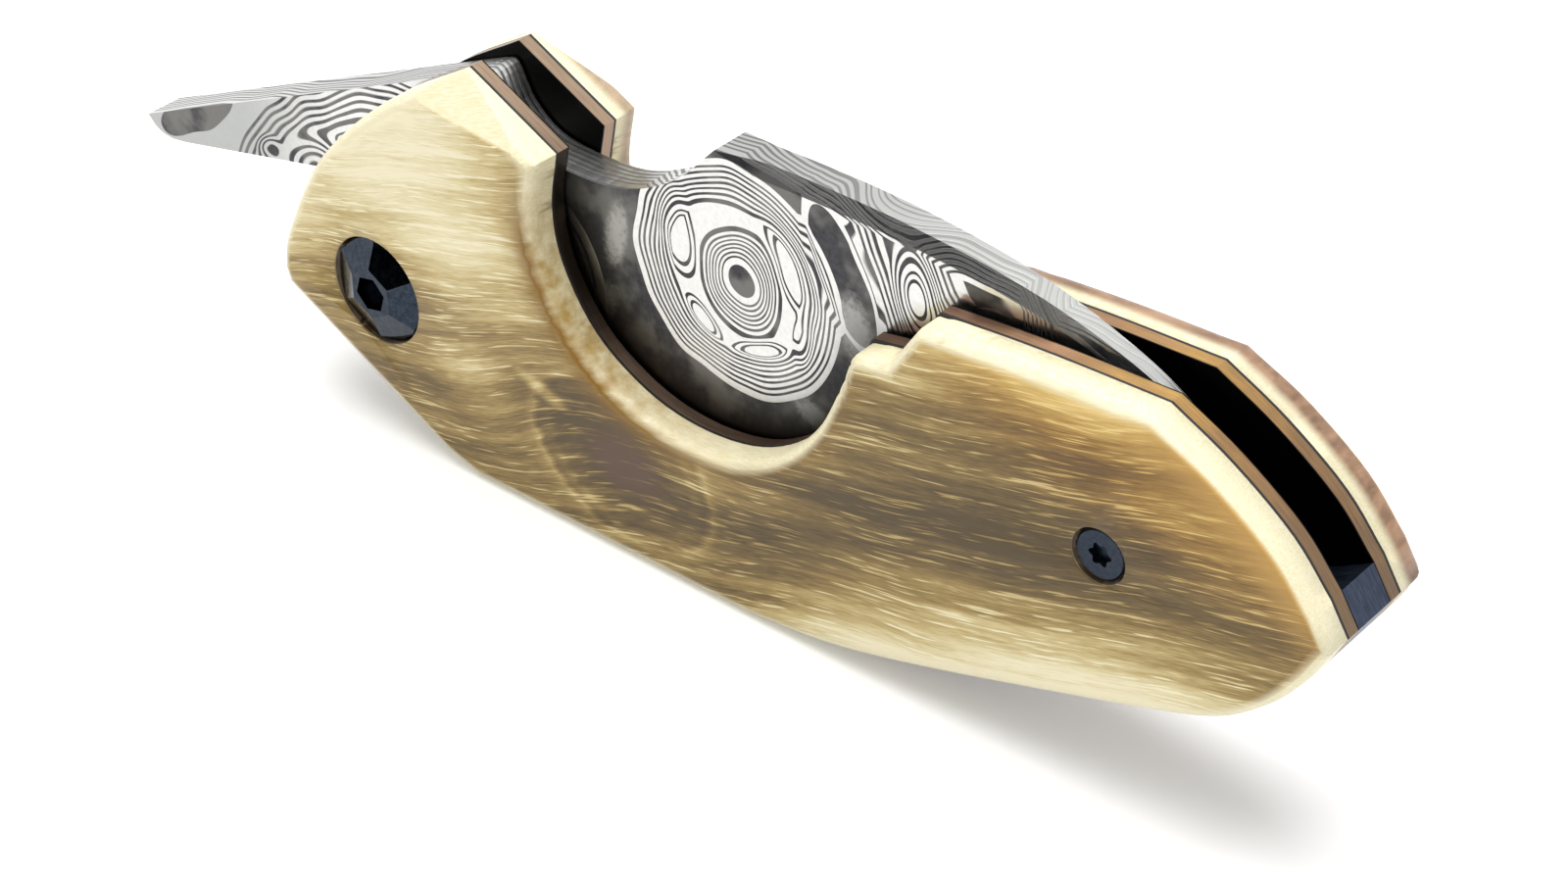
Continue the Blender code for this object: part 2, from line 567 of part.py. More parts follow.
        # Low-head screws that hold the liner to the backspacer, under the scale
        for where, place in (("front", front_screw), ("rear", rear_liner_screw)):
            low_top = LINER_OUTER - SEAT_GAP
            low_foot = screw_floor + SEAT_GAP
            low_end = LINER_INNER - LINER_THREAD_LENGTH
            low_screw = turned_part("liner_screw_" + name + "_" + where,
                                    [(0, low_top), (LINER_HEAD_RADIUS, low_top),
                                     (LINER_HEAD_RADIUS, low_foot), (LINER_SHANK_RADIUS, low_foot),
                                     (LINER_SHANK_RADIUS, low_end), (0, low_end)],
                                    side, place, pieces, dowel_steel, axis)
            boolean(low_screw, hole("low_socket", LINER_SOCKET_RADIUS, side * (low_top - LINER_SOCKET_DEPTH),
                                    side * (low_top + OVERRUN), place, cutters, axis, sides=SOCKET_LOBES))

    # Pins between the fibre spacers
    pin_half = LINER_OUTER - SEAT_GAP
    for name, radius, place in (("stop_pin", STOP_PIN_RADIUS, stop_pin),
                                ("front_dowel", DOWEL_RADIUS, front_dowel),
                                ("rear_dowel", DOWEL_RADIUS, rear_dowel)):
        add_object(name, cylinder_mesh(name, radius, -pin_half, pin_half, place), pieces, dowel_steel, axis)

    # Pivot: a hollow barrel from the far side and a screw from the near side, with six-sided cone heads
    head_foot = pivot_floor + SEAT_GAP
    flat_top = SCALE_OUTER + PIVOT_HEAD_PROUD
    fall = (PIVOT_HEAD_PROUD + PIVOT_HEAD_SUNK) / (PIVOT_HEAD_RADIUS - PIVOT_HEAD_FLAT_RADIUS)
    barrel_end = -(head_foot - FIT_GAP)
    bore_floor = LINER_OUTER
    thread_end = -LINER_OUTER
    heads = {
        "far": ("pivot_barrel", [(0, flat_top), (PIVOT_HEAD_RADIUS, flat_top),
                                 (PIVOT_HEAD_RADIUS, head_foot), (BARREL_RADIUS, head_foot),
                                 (BARREL_RADIUS, barrel_end), (BARREL_BORE_RADIUS, barrel_end),
                                 (BARREL_BORE_RADIUS, bore_floor), (0, bore_floor)]),
        "near": ("pivot_screw", [(0, flat_top), (PIVOT_HEAD_RADIUS, flat_top),
                                 (PIVOT_HEAD_RADIUS, head_foot),
                                 (BARREL_BORE_RADIUS - FIT_GAP, head_foot),
                                 (BARREL_BORE_RADIUS - FIT_GAP, thread_end + FIT_GAP),
                                 (0, thread_end + FIT_GAP)]),
    }
    for name, (piece_name, profile) in heads.items():
        side = SIDES[name]
        head = turned_part(piece_name, profile, side, pivot, pieces, black_steel, axis)
        length = flat_top - barrel_end + OVERRUN
        corner = 1 / math.cos(math.pi / SOCKET_LOBES)
        flat_reach = PIVOT_HEAD_FLAT_RADIUS * corner
        foot_reach = (PIVOT_HEAD_FLAT_RADIUS + length / fall) * corner
        radii = (foot_reach, flat_reach) if side > 0 else (flat_reach, foot_reach)
        ends = sorted((side * (flat_top - length), side * flat_top))
        cone = cylinder_mesh("facets", radii[0], ends[0], ends[1], pivot, sides=SOCKET_LOBES,
                             top_radius=radii[1])
        boolean(head, hide_cutter(add_object("facets", cone, cutters, None, axis)), "INTERSECT")
        boolean(head, hole("hex_socket", PIVOT_SOCKET_RADIUS, side * (flat_top - PIVOT_SOCKET_DEPTH),
                           side * (flat_top + OVERRUN), pivot, cutters, axis, sides=SOCKET_LOBES,
                           turn=PIVOT_SOCKET_TURN))

    for piece in pieces.objects:
        if piece.type == "MESH":
            piece.data.shade_smooth()
            piece.data.set_sharp_from_angle(angle=math.radians(35))
    print("blade opens by", round(math.degrees(open_angle), 2), "degrees")
    print("pivot axis at", [round(value, 6) for value in axis.location])


build_knife()
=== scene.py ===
# %% [markdown]
# # A friction folder knife with ivory scales and a pattern-welded blade
# The knife is a small folder with no lock. Its blade carries a long tail past the pivot, which a
# thumb pushes to open it. The solid model gives every piece its shape and place. This lesson gives
# the pieces their finishes, softens the two scales, and sets up the studio that the knife stands in.

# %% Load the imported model
import math

import bmesh
import bpy
from mathutils import Matrix, Vector


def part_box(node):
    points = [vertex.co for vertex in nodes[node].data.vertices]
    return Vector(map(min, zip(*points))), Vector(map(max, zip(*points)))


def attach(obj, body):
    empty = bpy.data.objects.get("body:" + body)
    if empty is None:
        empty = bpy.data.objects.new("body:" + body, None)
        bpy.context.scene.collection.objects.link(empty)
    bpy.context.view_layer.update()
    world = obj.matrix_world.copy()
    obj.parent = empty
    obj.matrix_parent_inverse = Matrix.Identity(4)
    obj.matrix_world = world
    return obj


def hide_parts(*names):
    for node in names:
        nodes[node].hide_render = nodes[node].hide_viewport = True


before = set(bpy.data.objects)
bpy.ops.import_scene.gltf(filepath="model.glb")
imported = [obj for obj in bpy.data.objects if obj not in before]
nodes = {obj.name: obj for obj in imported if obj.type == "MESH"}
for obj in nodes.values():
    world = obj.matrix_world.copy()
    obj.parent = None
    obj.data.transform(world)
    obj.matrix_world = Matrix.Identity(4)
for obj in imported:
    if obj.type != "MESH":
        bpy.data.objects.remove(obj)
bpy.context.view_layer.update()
print("pieces in the packed model:", len(nodes))

# %% [markdown]
# ## Places on the knife
# A maker measures a knife from its pivot, so every pattern here is placed in millimetres from the
# pivot axis: x ahead towards the butt, z up. The pivot screw's own box says where that axis is.

# %% The pivot axis
MM = 0.001
screw_low, screw_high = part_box("pivot_screw")
pivot_place = (screw_low + screw_high) / 2
pivot_place.y = 0
print("pivot axis in mm:", [round(value * 1000, 2) for value in pivot_place])

# %% [markdown]
# ## Tools for the finishes
# Colours are picked as sRGB hex values, as a painter would write them down. The renderer counts
# light instead, so one function turns them to linear values. A second one adds a node with its
# settings, links and ramp stops, and a third starts a material whose coordinates are millimetres
# from the pivot.

# %% Colour, node and material helpers
# Settings that many nodes share
SMOOTH = {"interpolation_type": "SMOOTHSTEP"}
COLOURS = {"data_type": "RGBA"}
TIMES = {"operation": "MULTIPLY"}
TIMES_PLUS = {"operation": "MULTIPLY_ADD"}
MINUS = {"operation": "SUBTRACT"}
LARGER = {"operation": "MAXIMUM"}


def colour(hex_value):
    """An sRGB hex value as a linear colour with full alpha."""
    parts = [int(hex_value[i:i + 2], 16) / 255 for i in (1, 3, 5)]
    return (*(c / 12.92 if c <= 0.04045 else ((c + 0.055) / 1.055) ** 2.4 for c in parts), 1.0)


def add(tree, kind, settings=None, inputs=None, stops=None):
    """Adds a node. Each input is a value, or the output socket that feeds it."""
    made = tree.nodes.new("ShaderNode" + kind)
    for name, value in (settings or {}).items():
        setattr(made, name, value)
    for socket, value in (inputs or {}).items():
        if isinstance(value, bpy.types.NodeSocket):
            tree.links.new(value, made.inputs[socket])
        else:
            made.inputs[socket].default_value = value
    if stops:
        steps = made.color_ramp.elements
        while len(steps) < len(stops):
            steps.new(0.5)
        for step, (position, shade) in zip(steps, stops):
            step.position = position
            step.color = colour(shade) if isinstance(shade, str) else (shade, shade, shade, 1.0)
    return made


def start_material(name):
    """A new material: its node tree, its shader, and its coordinates in mm from the pivot."""
    material = bpy.data.materials.new(name)
    material.use_nodes = True
    tree = material.node_tree
    shader = tree.nodes["Principled BSDF"]
    source = add(tree, "TexCoord")
    place = add(tree, "Mapping", {}, {"Vector": source.outputs["Object"], "Scale": (1000, 1000, 1000),
                                      "Location": [-value / MM for value in pivot_place]})
    return material, tree, shader, place.outputs[0]


def dress(material, *names):
    """Gives CAD nodes a material in place of the one they came with."""
    for name in names:
        slots = nodes[name].material_slots
        for slot in slots:
            slot.material = material
        if not slots:
            nodes[name].data.materials.append(material)


print("ivory as linear light:", [round(value, 3) for value in colour("#EFE6C0")])

# %% [markdown]
# ## The pattern of the blade
# The blade is pattern-welded steel, often called Damascus. A smith stacks and welds two steels into
# many thin layers, presses dimples into the billet, grinds it flat and etches it. Acid darkens the
# plain steel and leaves the nickel steel bright, so the flat shows the layers as contour lines round
# each dimple. A picture could be wrapped round the blade, but it would smear on the spine. Here the
# layers are a height field in space: hills and dimples at measured places, plus the distance through
# the blade. Every face then cuts the same stack, as on real steel, and the spine shows long flow lines.

# %% Hills and dimples of the layers
# Each row: centre ahead and up, reach ahead and up in mm, turn in degrees, layers of height, inner share
HILLS = [
    (40.5, 15.0, 12.0, 12.0, 0, 14.2, 0.60),      # the ring group's outer slope
    (40.9, 15.0, 5.3, 6.3, 8, -14.2, 0.12),       # and its eye
    (33.8, 17.6, 2.7, 6.0, 12, 3.6, 0.25),        # loops on the ring's crest
    (46.5, 18.4, 2.7, 6.6, 34, 3.6, 0.25),
    (48.0, 12.0, 1.6, 3.8, -8, 3.0, 0.15),
    (43.2, 8.8, 4.8, 1.6, 22, 3.6, 0.15),
    (36.6, 9.6, 3.8, 1.6, -40, 3.4, 0.15),
    (66.0, 38.8, 400.0, 14.0, -6, 9.0, 0.80),     # lines along the spine
    (52.2, 20.4, 3.7, 8.5, 24, 1.5, 0.80),        # bright hairpin round a dark finger
    (52.2, 20.4, 2.9, 7.4, 24, -1.5, 0.80),
    (60.4, 20.4, 6.4, 40.0, 25, 9.6, 0.10),       # lines and nested ovals
    (60.2, 21.0, 2.9, 6.2, 14, 7.6, 0.10),
    (83.0, 22.0, 12.6, 60.0, 3, 12.8, 0.68),      # lines before the tip
    (-16.0, 8.0, 31.0, 15.0, 20, 1.25, 0.85),     # bright ground of the tail
    (-29.8, 6.3, 8.2, 2.5, 33, -1.35, 0.45),      # its dark band
    (0.0, 1.6, 26.0, 18.8, 16, 19.0, 0.54),       # its arcs
    (-19.4, 6.3, 2.6, 1.6, 40, 2.6, 0.1),
    (-11.6, 6.0, 7.6, 5.0, 22, -12.0, 0.10),
]
print("hills and dimples in the billet:", len(HILLS))

# %% [markdown]
# Each hill is a patch: 1 inside an ellipse in the plane of the blade, and 0 outside it. The stains of
# the scales are patches too. A slow noise makes the whole field wander, so that no ellipse looks drawn.

# %% Patches and the layer field
ROUNDED_BELOW = 0.3             # inner share below which a hill is rounded, and not a plain slope
LAYERS_PER_MM = 2.4             # through the blade
FLAT = 2.1                      # mm from the middle plane to the blade's flat
WANDER = 1.8                    # mm that the layers wander sideways
WANDER_SCALE = 0.12             # waves of that per mm
SWELL = (-0.45, 0.40)           # layers that the same waves add


def patch_share(tree, place, centre, reach, turn, inner, interpolation="SMOOTHSTEP"):
    """1 inside an ellipse in the plane of the blade, falling to 0 at its rim."""
    moved = add(tree, "VectorMath", MINUS, {0: place, 1: (centre[0], 0, centre[1])})
    turned = add(tree, "VectorRotate", {"rotation_type": "Y_AXIS"},
                 {"Vector": moved.outputs[0], "Angle": math.radians(turn)})
    scaled = add(tree, "VectorMath", TIMES, {0: turned.outputs[0], 1: (1 / reach[0], 0, 1 / reach[1])})
    out = add(tree, "VectorMath", {"operation": "LENGTH"}, {0: scaled.outputs[0]})
    return add(tree, "MapRange", {"interpolation_type": interpolation},
               {"Value": out.outputs["Value"], "From Min": 1.0, "From Max": inner}).outputs[0]


def layer_height(tree, place):
    """How many layers lie between a point and the near flat of the blade."""
    wobble = add(tree, "TexNoise", {}, {"Vector": place, "Scale": WANDER_SCALE, "Detail": 1.0})
    centred = add(tree, "VectorMath", MINUS, {0: wobble.outputs["Color"], 1: (0.5, 0.5, 0.5)})
    warped = add(tree, "VectorMath", TIMES_PLUS,
                 {0: centred.outputs[0], 1: (WANDER, 0.0, WANDER), 2: place}).outputs[0]
    through = add(tree, "SeparateXYZ", {}, {0: place}).outputs["Y"]
    total = add(tree, "Math", TIMES_PLUS,
                {0: through, 1: LAYERS_PER_MM, 2: LAYERS_PER_MM * FLAT}).outputs[0]
    swell = add(tree, "MapRange", {}, {"Value": wobble.outputs["Fac"], "From Min": 0.3, "From Max": 0.7,
                                       "To Min": SWELL[0], "To Max": SWELL[1]}).outputs[0]
    total = add(tree, "Math", {"operation": "ADD"}, {0: total, 1: swell}).outputs[0]
    for x, z, reach_x, reach_z, turn, layers, inner in HILLS:
        slope = patch_share(tree, warped, (x, z), (reach_x, reach_z), turn, inner,
                            "SMOOTHSTEP" if inner < ROUNDED_BELOW else "LINEAR")
        total = add(tree, "Math", TIMES_PLUS, {0: slope, 1: layers, 2: total}).outputs[0]
    return total


print("layers through the blade:", round(2 * FLAT * LAYERS_PER_MM))

# %% [markdown]
# The height turns into steel by its layer. A sine wave of the height gives the fine even lines, and a
# ramp welds some layers into thick dark and thick bright ones. A one-way noise makes them uneven. The
# real lines are about 0.25 mm apart. Here they are drawn about 0.5 mm apart, so that they still show
# in a picture of the whole knife.

# %% Bright and dark layers
# Tone of the thick layers by height, from dark at 0 to bright at 1. Fine lines show near 0.5.
THICK_LAYERS = [(-4, 0.54), (-1.3, 0.54), (-1.15, 0.9), (-0.9, 0.9), (-0.8, 0.0), (0.7, 0.0), (0.85, 0.9),
                (2.3, 0.9), (2.6, 0.52), (11.3, 0.52), (11.5, 0.9), (12.1, 0.9), (12.2, 0.0), (13.4, 0.0),
                (13.5, 0.9), (14.8, 0.9), (14.9, 0.1), (15.4, 0.1), (15.5, 0.9), (16.2, 0.9), (16.3, 0.1),
                (16.8, 0.1), (16.9, 0.9), (18.2, 0.9), (18.5, 0.6), (20, 0.6)]
LOWEST, HIGHEST = -4.0, 20.0    # heights between which that tone is given
LINE_PITCH = 1.60               # layers from one etched line to the next
THICK_GAIN = 4.6                # how strongly the thick layers overrule the fine lines
UNEVEN_GAIN = 2.6               # how strongly the one-way noise does
BALANCE = -3.62                 # brings half a tone and half a noise back to about nothing
ETCH_EDGE = (-0.55, 0.40)       # where dark steel turns into bright steel


def nickel_share(tree, height):
    """1 on bright nickel steel and 0 on dark plain steel."""
    share = add(tree, "MapRange", {}, {"Value": height, "From Min": LOWEST, "From Max": HIGHEST}).outputs[0]
    stops = [((at - LOWEST) / (HIGHEST - LOWEST), tone) for at, tone in THICK_LAYERS]
    thick = add(tree, "ValToRGB", {}, {"Fac": share}, stops).outputs[0]
    uneven = add(tree, "TexNoise", {"noise_dimensions": "1D"},
                 {"W": height, "Scale": 0.8, "Detail": 2.0, "Roughness": 0.6}).outputs["Fac"]
    slow = add(tree, "Math", TIMES_PLUS, {0: thick, 1: THICK_GAIN, 2: BALANCE}).outputs[0]
    slow = add(tree, "Math", TIMES_PLUS, {0: uneven, 1: UNEVEN_GAIN, 2: slow}).outputs[0]
    turns = add(tree, "Math", TIMES, {0: height, 1: 2 * math.pi / LINE_PITCH}).outputs[0]
    fine = add(tree, "Math", {"operation": "SINE"}, {0: turns}).outputs[0]
    mixed = add(tree, "Math", {"operation": "ADD"}, {0: fine, 1: slow}).outputs[0]
    return add(tree, "MapRange", SMOOTH,
               {"Value": mixed, "From Min": ETCH_EDGE[0], "From Max": ETCH_EDGE[1]}).outputs[0]


print("turning points of the layers' tone:", len(THICK_LAYERS))

# %% [markdown]
# The dark steel is clouded from the acid, with a few paler blooms and some soft painted highlights. The
# spine was rubbed bright after the etch, and hands wore the tail to an even grey. Beside the handle's
# finger groove the blade gets a black band of painted shade and reflection.

# %% Etched pattern-welded steel
SPINE_UP = (0.7, 0.9)           # upward share of the normal, from the bevels to the spine
SPINE_WEAR = (42.0, 82.0)       # mm ahead between which the spine is rubbed brighter
TAIL_WEAR = (-6.0, -24.0)       # mm ahead between which the tail turns greyer
GROOVE = (38.3, 17.3)           # middle of the handle's finger groove, ahead and up in mm
GROOVE_SHADE_REACH = 29.0             # mm from there to where the painted shade has gone
GROOVE_SHADE_TOP = (21.0, 12.0)       # mm up, from no painted shade to full painted shade
# Soft painted highlights on the dark ground: centre ahead and up, reach ahead and up in mm, turn
PAINTED_HIGHLIGHTS = [
    (53.8, 15.2, 3.2, 6.6, 12),
    (26.4, 14.2, 2.4, 6.4, -10),
    (24.0, 5.5, 3.0, 6.0, -30),
    (49.5, 4.5, 5.0, 2.4, -20),
]


def etched_steel():
    """Pattern-welded steel, etched: bright nickel lines stand proud of dull dark ones."""
    material, tree, shader, place = start_material("etched_pattern_welded_steel")
    axes = add(tree, "SeparateXYZ", {}, {0: place})
    bright = nickel_share(tree, layer_height(tree, place))
    cloud = add(tree, "TexNoise", {},
                {"Vector": place, "Scale": 1.8, "Detail": 6.0, "Roughness": 0.7}).outputs["Fac"]
    upward = add(tree, "SeparateXYZ", {}, {0: add(tree, "TexCoord").outputs["Normal"]}).outputs["Z"]
    rubbed = add(tree, "MapRange", SMOOTH,
                 {"Value": upward, "From Min": SPINE_UP[0], "From Max": SPINE_UP[1]}).outputs[0]

    # Dark plain steel is clouded, has paler blooms and painted highlights, and is grey where the spine was
    # rubbed
    bloom = add(tree, "TexNoise", {},
                {"Vector": place, "Scale": 0.22, "Detail": 3.0, "Roughness": 0.5}).outputs["Fac"]
    bloom = add(tree, "MapRange", SMOOTH,
                {"Value": bloom, "From Min": 0.42, "From Max": 0.62, "To Max": 0.75}).outputs[0]
    dark = add(tree, "Mix", COLOURS,
               {"Factor": cloud, "A": colour("#242427"), "B": colour("#58585B")}).outputs["Result"]
    dark = add(tree, "Mix", COLOURS, {"Factor": bloom, "A": dark, "B": colour("#7C7B77")}).outputs["Result"]
    # Painted highlights: paler patches at given places on the dark steel
    for x, z, reach_x, reach_z, turn in PAINTED_HIGHLIGHTS:
        glow = patch_share(tree, place, (x, z), (reach_x, reach_z), turn, 0.0)
        glow = add(tree, "Math", TIMES, {0: glow, 1: cloud}).outputs[0]
        glow = add(tree, "MapRange", SMOOTH,
                   {"Value": glow, "From Min": 0.10, "From Max": 0.45, "To Max": 0.9}).outputs[0]
        dark = add(tree, "Mix", COLOURS,
                   {"Factor": glow, "A": dark, "B": colour("#ACABA8")}).outputs["Result"]
    worn = add(tree, "MapRange", {}, {"Value": axes.outputs["X"], "From Min": SPINE_WEAR[0],
                                      "From Max": SPINE_WEAR[1]}).outputs[0]
    spine = add(tree, "ValToRGB", {}, {"Fac": worn}, [(0.0, "#757574"), (1.0, "#A6A6A3")]).outputs["Color"]
    dark = add(tree, "Mix", COLOURS, {"Factor": rubbed, "A": dark, "B": spine}).outputs["Result"]

    # Bright nickel steel turns greyer along the tail and on the spine
    nickel = add(tree, "Mix", COLOURS,
                 {"Factor": cloud, "A": colour("#BDBCB9"), "B": colour("#EAE9E6")}).outputs["Result"]
    handled = add(tree, "MapRange", SMOOTH,
                  {"Value": axes.outputs["X"], "From Min": TAIL_WEAR[0], "From Max": TAIL_WEAR[1],
                   "To Max": 0.8}).outputs[0]
    nickel = add(tree, "Mix", COLOURS,
                 {"Factor": handled, "A": nickel, "B": colour("#949694")}).outputs["Result"]
    nickel = add(tree, "Mix", COLOURS,
                 {"Factor": rubbed, "A": nickel, "B": colour("#C4C5C2")}).outputs["Result"]
    face = add(tree, "Mix", COLOURS, {"Factor": bright, "A": dark, "B": nickel}).outputs["Result"]

    # Painted shade and reflection: a black band beside the handle's finger groove
    beside = patch_share(tree, place, GROOVE, (GROOVE_SHADE_REACH, GROOVE_SHADE_REACH), 0, 0.02, "LINEAR")
    below = add(tree, "MapRange", SMOOTH,
                {"Value": axes.outputs["Z"], "From Min": GROOVE_SHADE_TOP[0],
                 "From Max": GROOVE_SHADE_TOP[1]}).outputs[0]
    black = add(tree, "ValToRGB", {}, {"Fac": beside},
                [(0.0, 0.0), (0.28, 0.96), (0.38, 0.95), (0.47, 0.55), (0.58, 0.0)]).outputs["Color"]
    black = add(tree, "Math", TIMES, {0: black, 1: below}).outputs[0]
    face = add(tree, "Mix", COLOURS, {"Factor": black, "A": face, "B": colour("#1D1B19")}).outputs["Result"]

    # The acid leaves the dark steel dull and 0.02 mm deeper
    gloss = add(tree, "MapRange", {}, {"Value": bright, "To Min": 0.46, "To Max": 0.28}).outputs[0]
    relief = add(tree, "Bump", {}, {"Height": bright, "Strength": 0.35, "Distance": 0.02 * MM}).outputs[0]
    tree.links.new(face, shader.inputs["Base Color"])
    tree.links.new(gloss, shader.inputs["Roughness"])
    tree.links.new(relief, shader.inputs["Normal"])
    shader.inputs["Metallic"].default_value = 1.0
    return material


dress(etched_steel(), "blade")
# The count printed is of the painted highlights.
print("blade dressed, with blooms:", len(PAINTED_HIGHLIGHTS))

# %% [markdown]
# ## The scales
# The scales are fossil ivory or old bone, cut lengthwise, ground and polished. Buried for a long time,
# it takes up minerals: the bark side turns brown and grey, the heart stays cream. Fine straight grain
# runs along the handle and rises a little towards the butt. Wood grain from a wave texture would look
# too even, so the grain is noise pulled out to about thirty times its width, and the stains are soft
# patches at the places where the real ones lie. The polish is high, but the grain keeps a little tooth.

# %% Stains of the near scale, and a plainer far one
# Each row: centre ahead and up, reach ahead and up in mm, turn in degrees, and how much browner it gets
NEAR_STAINS = [
    (3.0, 17.0, 27.0, 17.0, 14, -0.70),      # pale ear and shoulder
    (-14.0, 3.0, 13.0, 11.0, 0, -0.37),
    (14.0, 7.0, 14.0, 8.0, 14, -0.36),
    (74.0, 28.0, 30.0, 10.5, -2, -0.90),     # pale top band
    (60.0, 18.5, 13.0, 5.0, 14, -0.30),
    (84.0, -11.0, 50.0, 14.5, 13, -0.80),    # pale bottom band
    (58.0, -13.5, 14.0, 5.0, 12, -0.25),
    (80.0, -3.0, 36.0, 7.5, 14, -0.13),
    (76.0, 7.5, 32.0, 7.5, 14, 0.30),        # darker heart
    (29.5, -5.5, 13.0, 7.0, -6, 0.25),
    (46.0, -7.5, 14.0, 4.5, 12, 0.14),
    (56.0, 0.0, 16.0, 4.5, 14, 0.14),
    (93.0, 16.0, 12.0, 7.0, -20, -0.22),
    (21.5, -2.4, 4.6, 1.3, -16, -0.38),      # pale vein beside the knot
    (12.5, -4.5, 9.0, 6.0, -20, -0.22),
]
FAR_STAINS = [
    (2.0, 15.0, 27.0, 17.0, 20, -0.75),
    (70.0, -12.0, 50.0, 13.0, 12, -0.70),
    (20.0, 0.0, 26.0, 12.0, 14, -0.40),
    (84.0, 18.0, 26.0, 10.0, -14, -0.35),
    (50.0, -1.0, 30.0, 5.0, 14, 0.18),
]
# The knot of each scale: middle ahead and up, reach ahead and up in mm, and turn
KNOTS = {"near": (31.0, -6.2, 13.5, 10.0, -8), "far": (70.0, 4.0, 14.0, 9.0, 20)}
print("stains on the near scale:", len(NEAR_STAINS))

# %% [markdown]
# The grain is four noises, each pulled out along one direction. It parts round a knot like water
# round a stone, so the noises are bent over the knot before they are read.

# %% Grain along the handle
# Broad bands, streaks, flecks and threads: changes per mm along and across the grain, and detail
GRAIN = [(0.016, 0.26, 3.0), (0.035, 1.1, 3.0), (0.17, 4.4, 2.0), (0.5, 8.0, 2.0)]
GRAIN_RISE = 15                 # degrees that the grain rises towards the butt
KNOT_ARCH = 3.0                 # mm that it arches over the knot


def ivory_grain(tree, place, bent, knot, seed):
    """Noises pulled out along the grain, which arches over the knot."""
    arch = patch_share(tree, place, (knot[0] - KNOT_ARCH, knot[1] + KNOT_ARCH),
                       (knot[2] * 1.5, knot[3] * 1.4), knot[4], 0.0)
    arch = add(tree, "VectorMath", {"operation": "SCALE"},
               {0: (0.0, 0.0, -KNOT_ARCH), "Scale": arch}).outputs[0]
    arched = add(tree, "VectorMath", {"operation": "ADD"}, {0: bent, 1: arch}).outputs[0]
    along = add(tree, "VectorRotate", {"rotation_type": "Y_AXIS"},
                {"Vector": arched, "Angle": math.radians(GRAIN_RISE)}).outputs[0]
    grain = []
    for stretch, width, detail in GRAIN:
        pulled = add(tree, "VectorMath", TIMES, {0: along, 1: (stretch, width * 0.4, width)}).outputs[0]
        grain.append(add(tree, "TexNoise", {"noise_dimensions": "4D"},
                         {"Vector": pulled, "W": seed + width, "Scale": 1.0, "Detail": detail,
                          "Roughness": 0.55}).outputs["Fac"])
    return grain


print("kinds of grain:", len(GRAIN))

# %% [markdown]
# Stains, grain and the knot's rings add up to one number, the brownness, and a ramp turns it to a
# colour. The top near the butt has a golden tint, and the knot's core is nearly umber.

# %% The polished face
# Round a knot by distance from its rim to its middle: browner above 0.5, paler below
KNOT_RINGS = [(0.0, 0.5), (0.10, 0.44), (0.17, 0.30), (0.24, 0.56), (0.33, 0.50), (0.40, 0.60),
              (0.55, 0.58), (1.0, 0.74)]
RING_RIPPLE = 0.16              # how far the streaks shift the knot's rings
BASE_TONE = -0.585              # brownness with every pattern at nothing
BROAD_GAIN = 0.55               # how much each kind of grain adds to it, and the rings
RING_GAIN = 0.9
STREAK_GAIN = 0.74
THREAD_GAIN = 0.46
FLECKS = (0.56, 0.66, 0.38)     # noise between which a pale fleck grows, and how much paler it gets
# From pale to brown
IVORY_TONES = [(0.0, "#F3E9C6"), (0.2, "#E0D2A2"), (0.4, "#C6B077"), (0.6, "#9C8247"), (0.8, "#715A29"),
               (1.0, "#4E3C18")]
# A patch: middle ahead and up, reach ahead and up in mm, turn in degrees, inner share
GOLDEN_TOP = ((86.0, 20.0), (44.0, 13.0), -14, 0.2)


def polished_ivory(tree, bent, grain, stains, knot):
    """The polished face: stains, grain and the rings of the knot, with a golden top at the butt."""
    broad, streak, fleck, thread = grain
    tone = add(tree, "Math", TIMES_PLUS, {0: broad, 1: BROAD_GAIN, 2: BASE_TONE}).outputs[0]
    for x, z, reach_x, reach_z, turn, brown in stains:
        patch = patch_share(tree, bent, (x, z), (reach_x, reach_z), turn, 0.15)
        tone = add(tree, "Math", TIMES_PLUS, {0: patch, 1: brown, 2: tone}).outputs[0]
    inward = patch_share(tree, bent, knot[:2], knot[2:4], knot[4], 0.0, "LINEAR")
    inward = add(tree, "Math", TIMES_PLUS, {0: streak, 1: RING_RIPPLE, 2: inward}).outputs[0]
    inward = add(tree, "Math", MINUS, {0: inward, 1: RING_RIPPLE / 2}).outputs[0]
    rings = add(tree, "ValToRGB", {}, {"Fac": inward}, KNOT_RINGS).outputs["Color"]
    pale = add(tree, "MapRange", SMOOTH,
               {"Value": fleck, "From Min": FLECKS[0], "From Max": FLECKS[1],
                "To Max": FLECKS[2]}).outputs[0]
    for part, gain in ((rings, RING_GAIN), (streak, STREAK_GAIN), (thread, THREAD_GAIN), (pale, -1.0)):
        tone = add(tree, "Math", TIMES_PLUS, {0: part, 1: gain, 2: tone}).outputs[0]
    face = add(tree, "ValToRGB", {}, {"Fac": tone}, IVORY_TONES).outputs["Color"]
    gold = patch_share(tree, bent, *GOLDEN_TOP)
    gold = add(tree, "Math", TIMES, {0: gold, 1: 0.9}).outputs[0]
    face = add(tree, "Mix", {"data_type": "RGBA", "blend_type": "MULTIPLY"},
               {"Factor": gold, "A": face, "B": colour("#FADFA0")}).outputs["Result"]
    core = patch_share(tree, bent, knot[:2], (knot[2] * 0.5, knot[3] * 0.45), knot[4], 0.2)
    core = add(tree, "Math", TIMES, {0: core, 1: 0.62}).outputs[0]
    return add(tree, "Mix", COLOURS, {"Factor": core, "A": face, "B": colour("#5F4238")}).outputs["Result"]


print("tones from cream to brown:", len(IVORY_TONES))
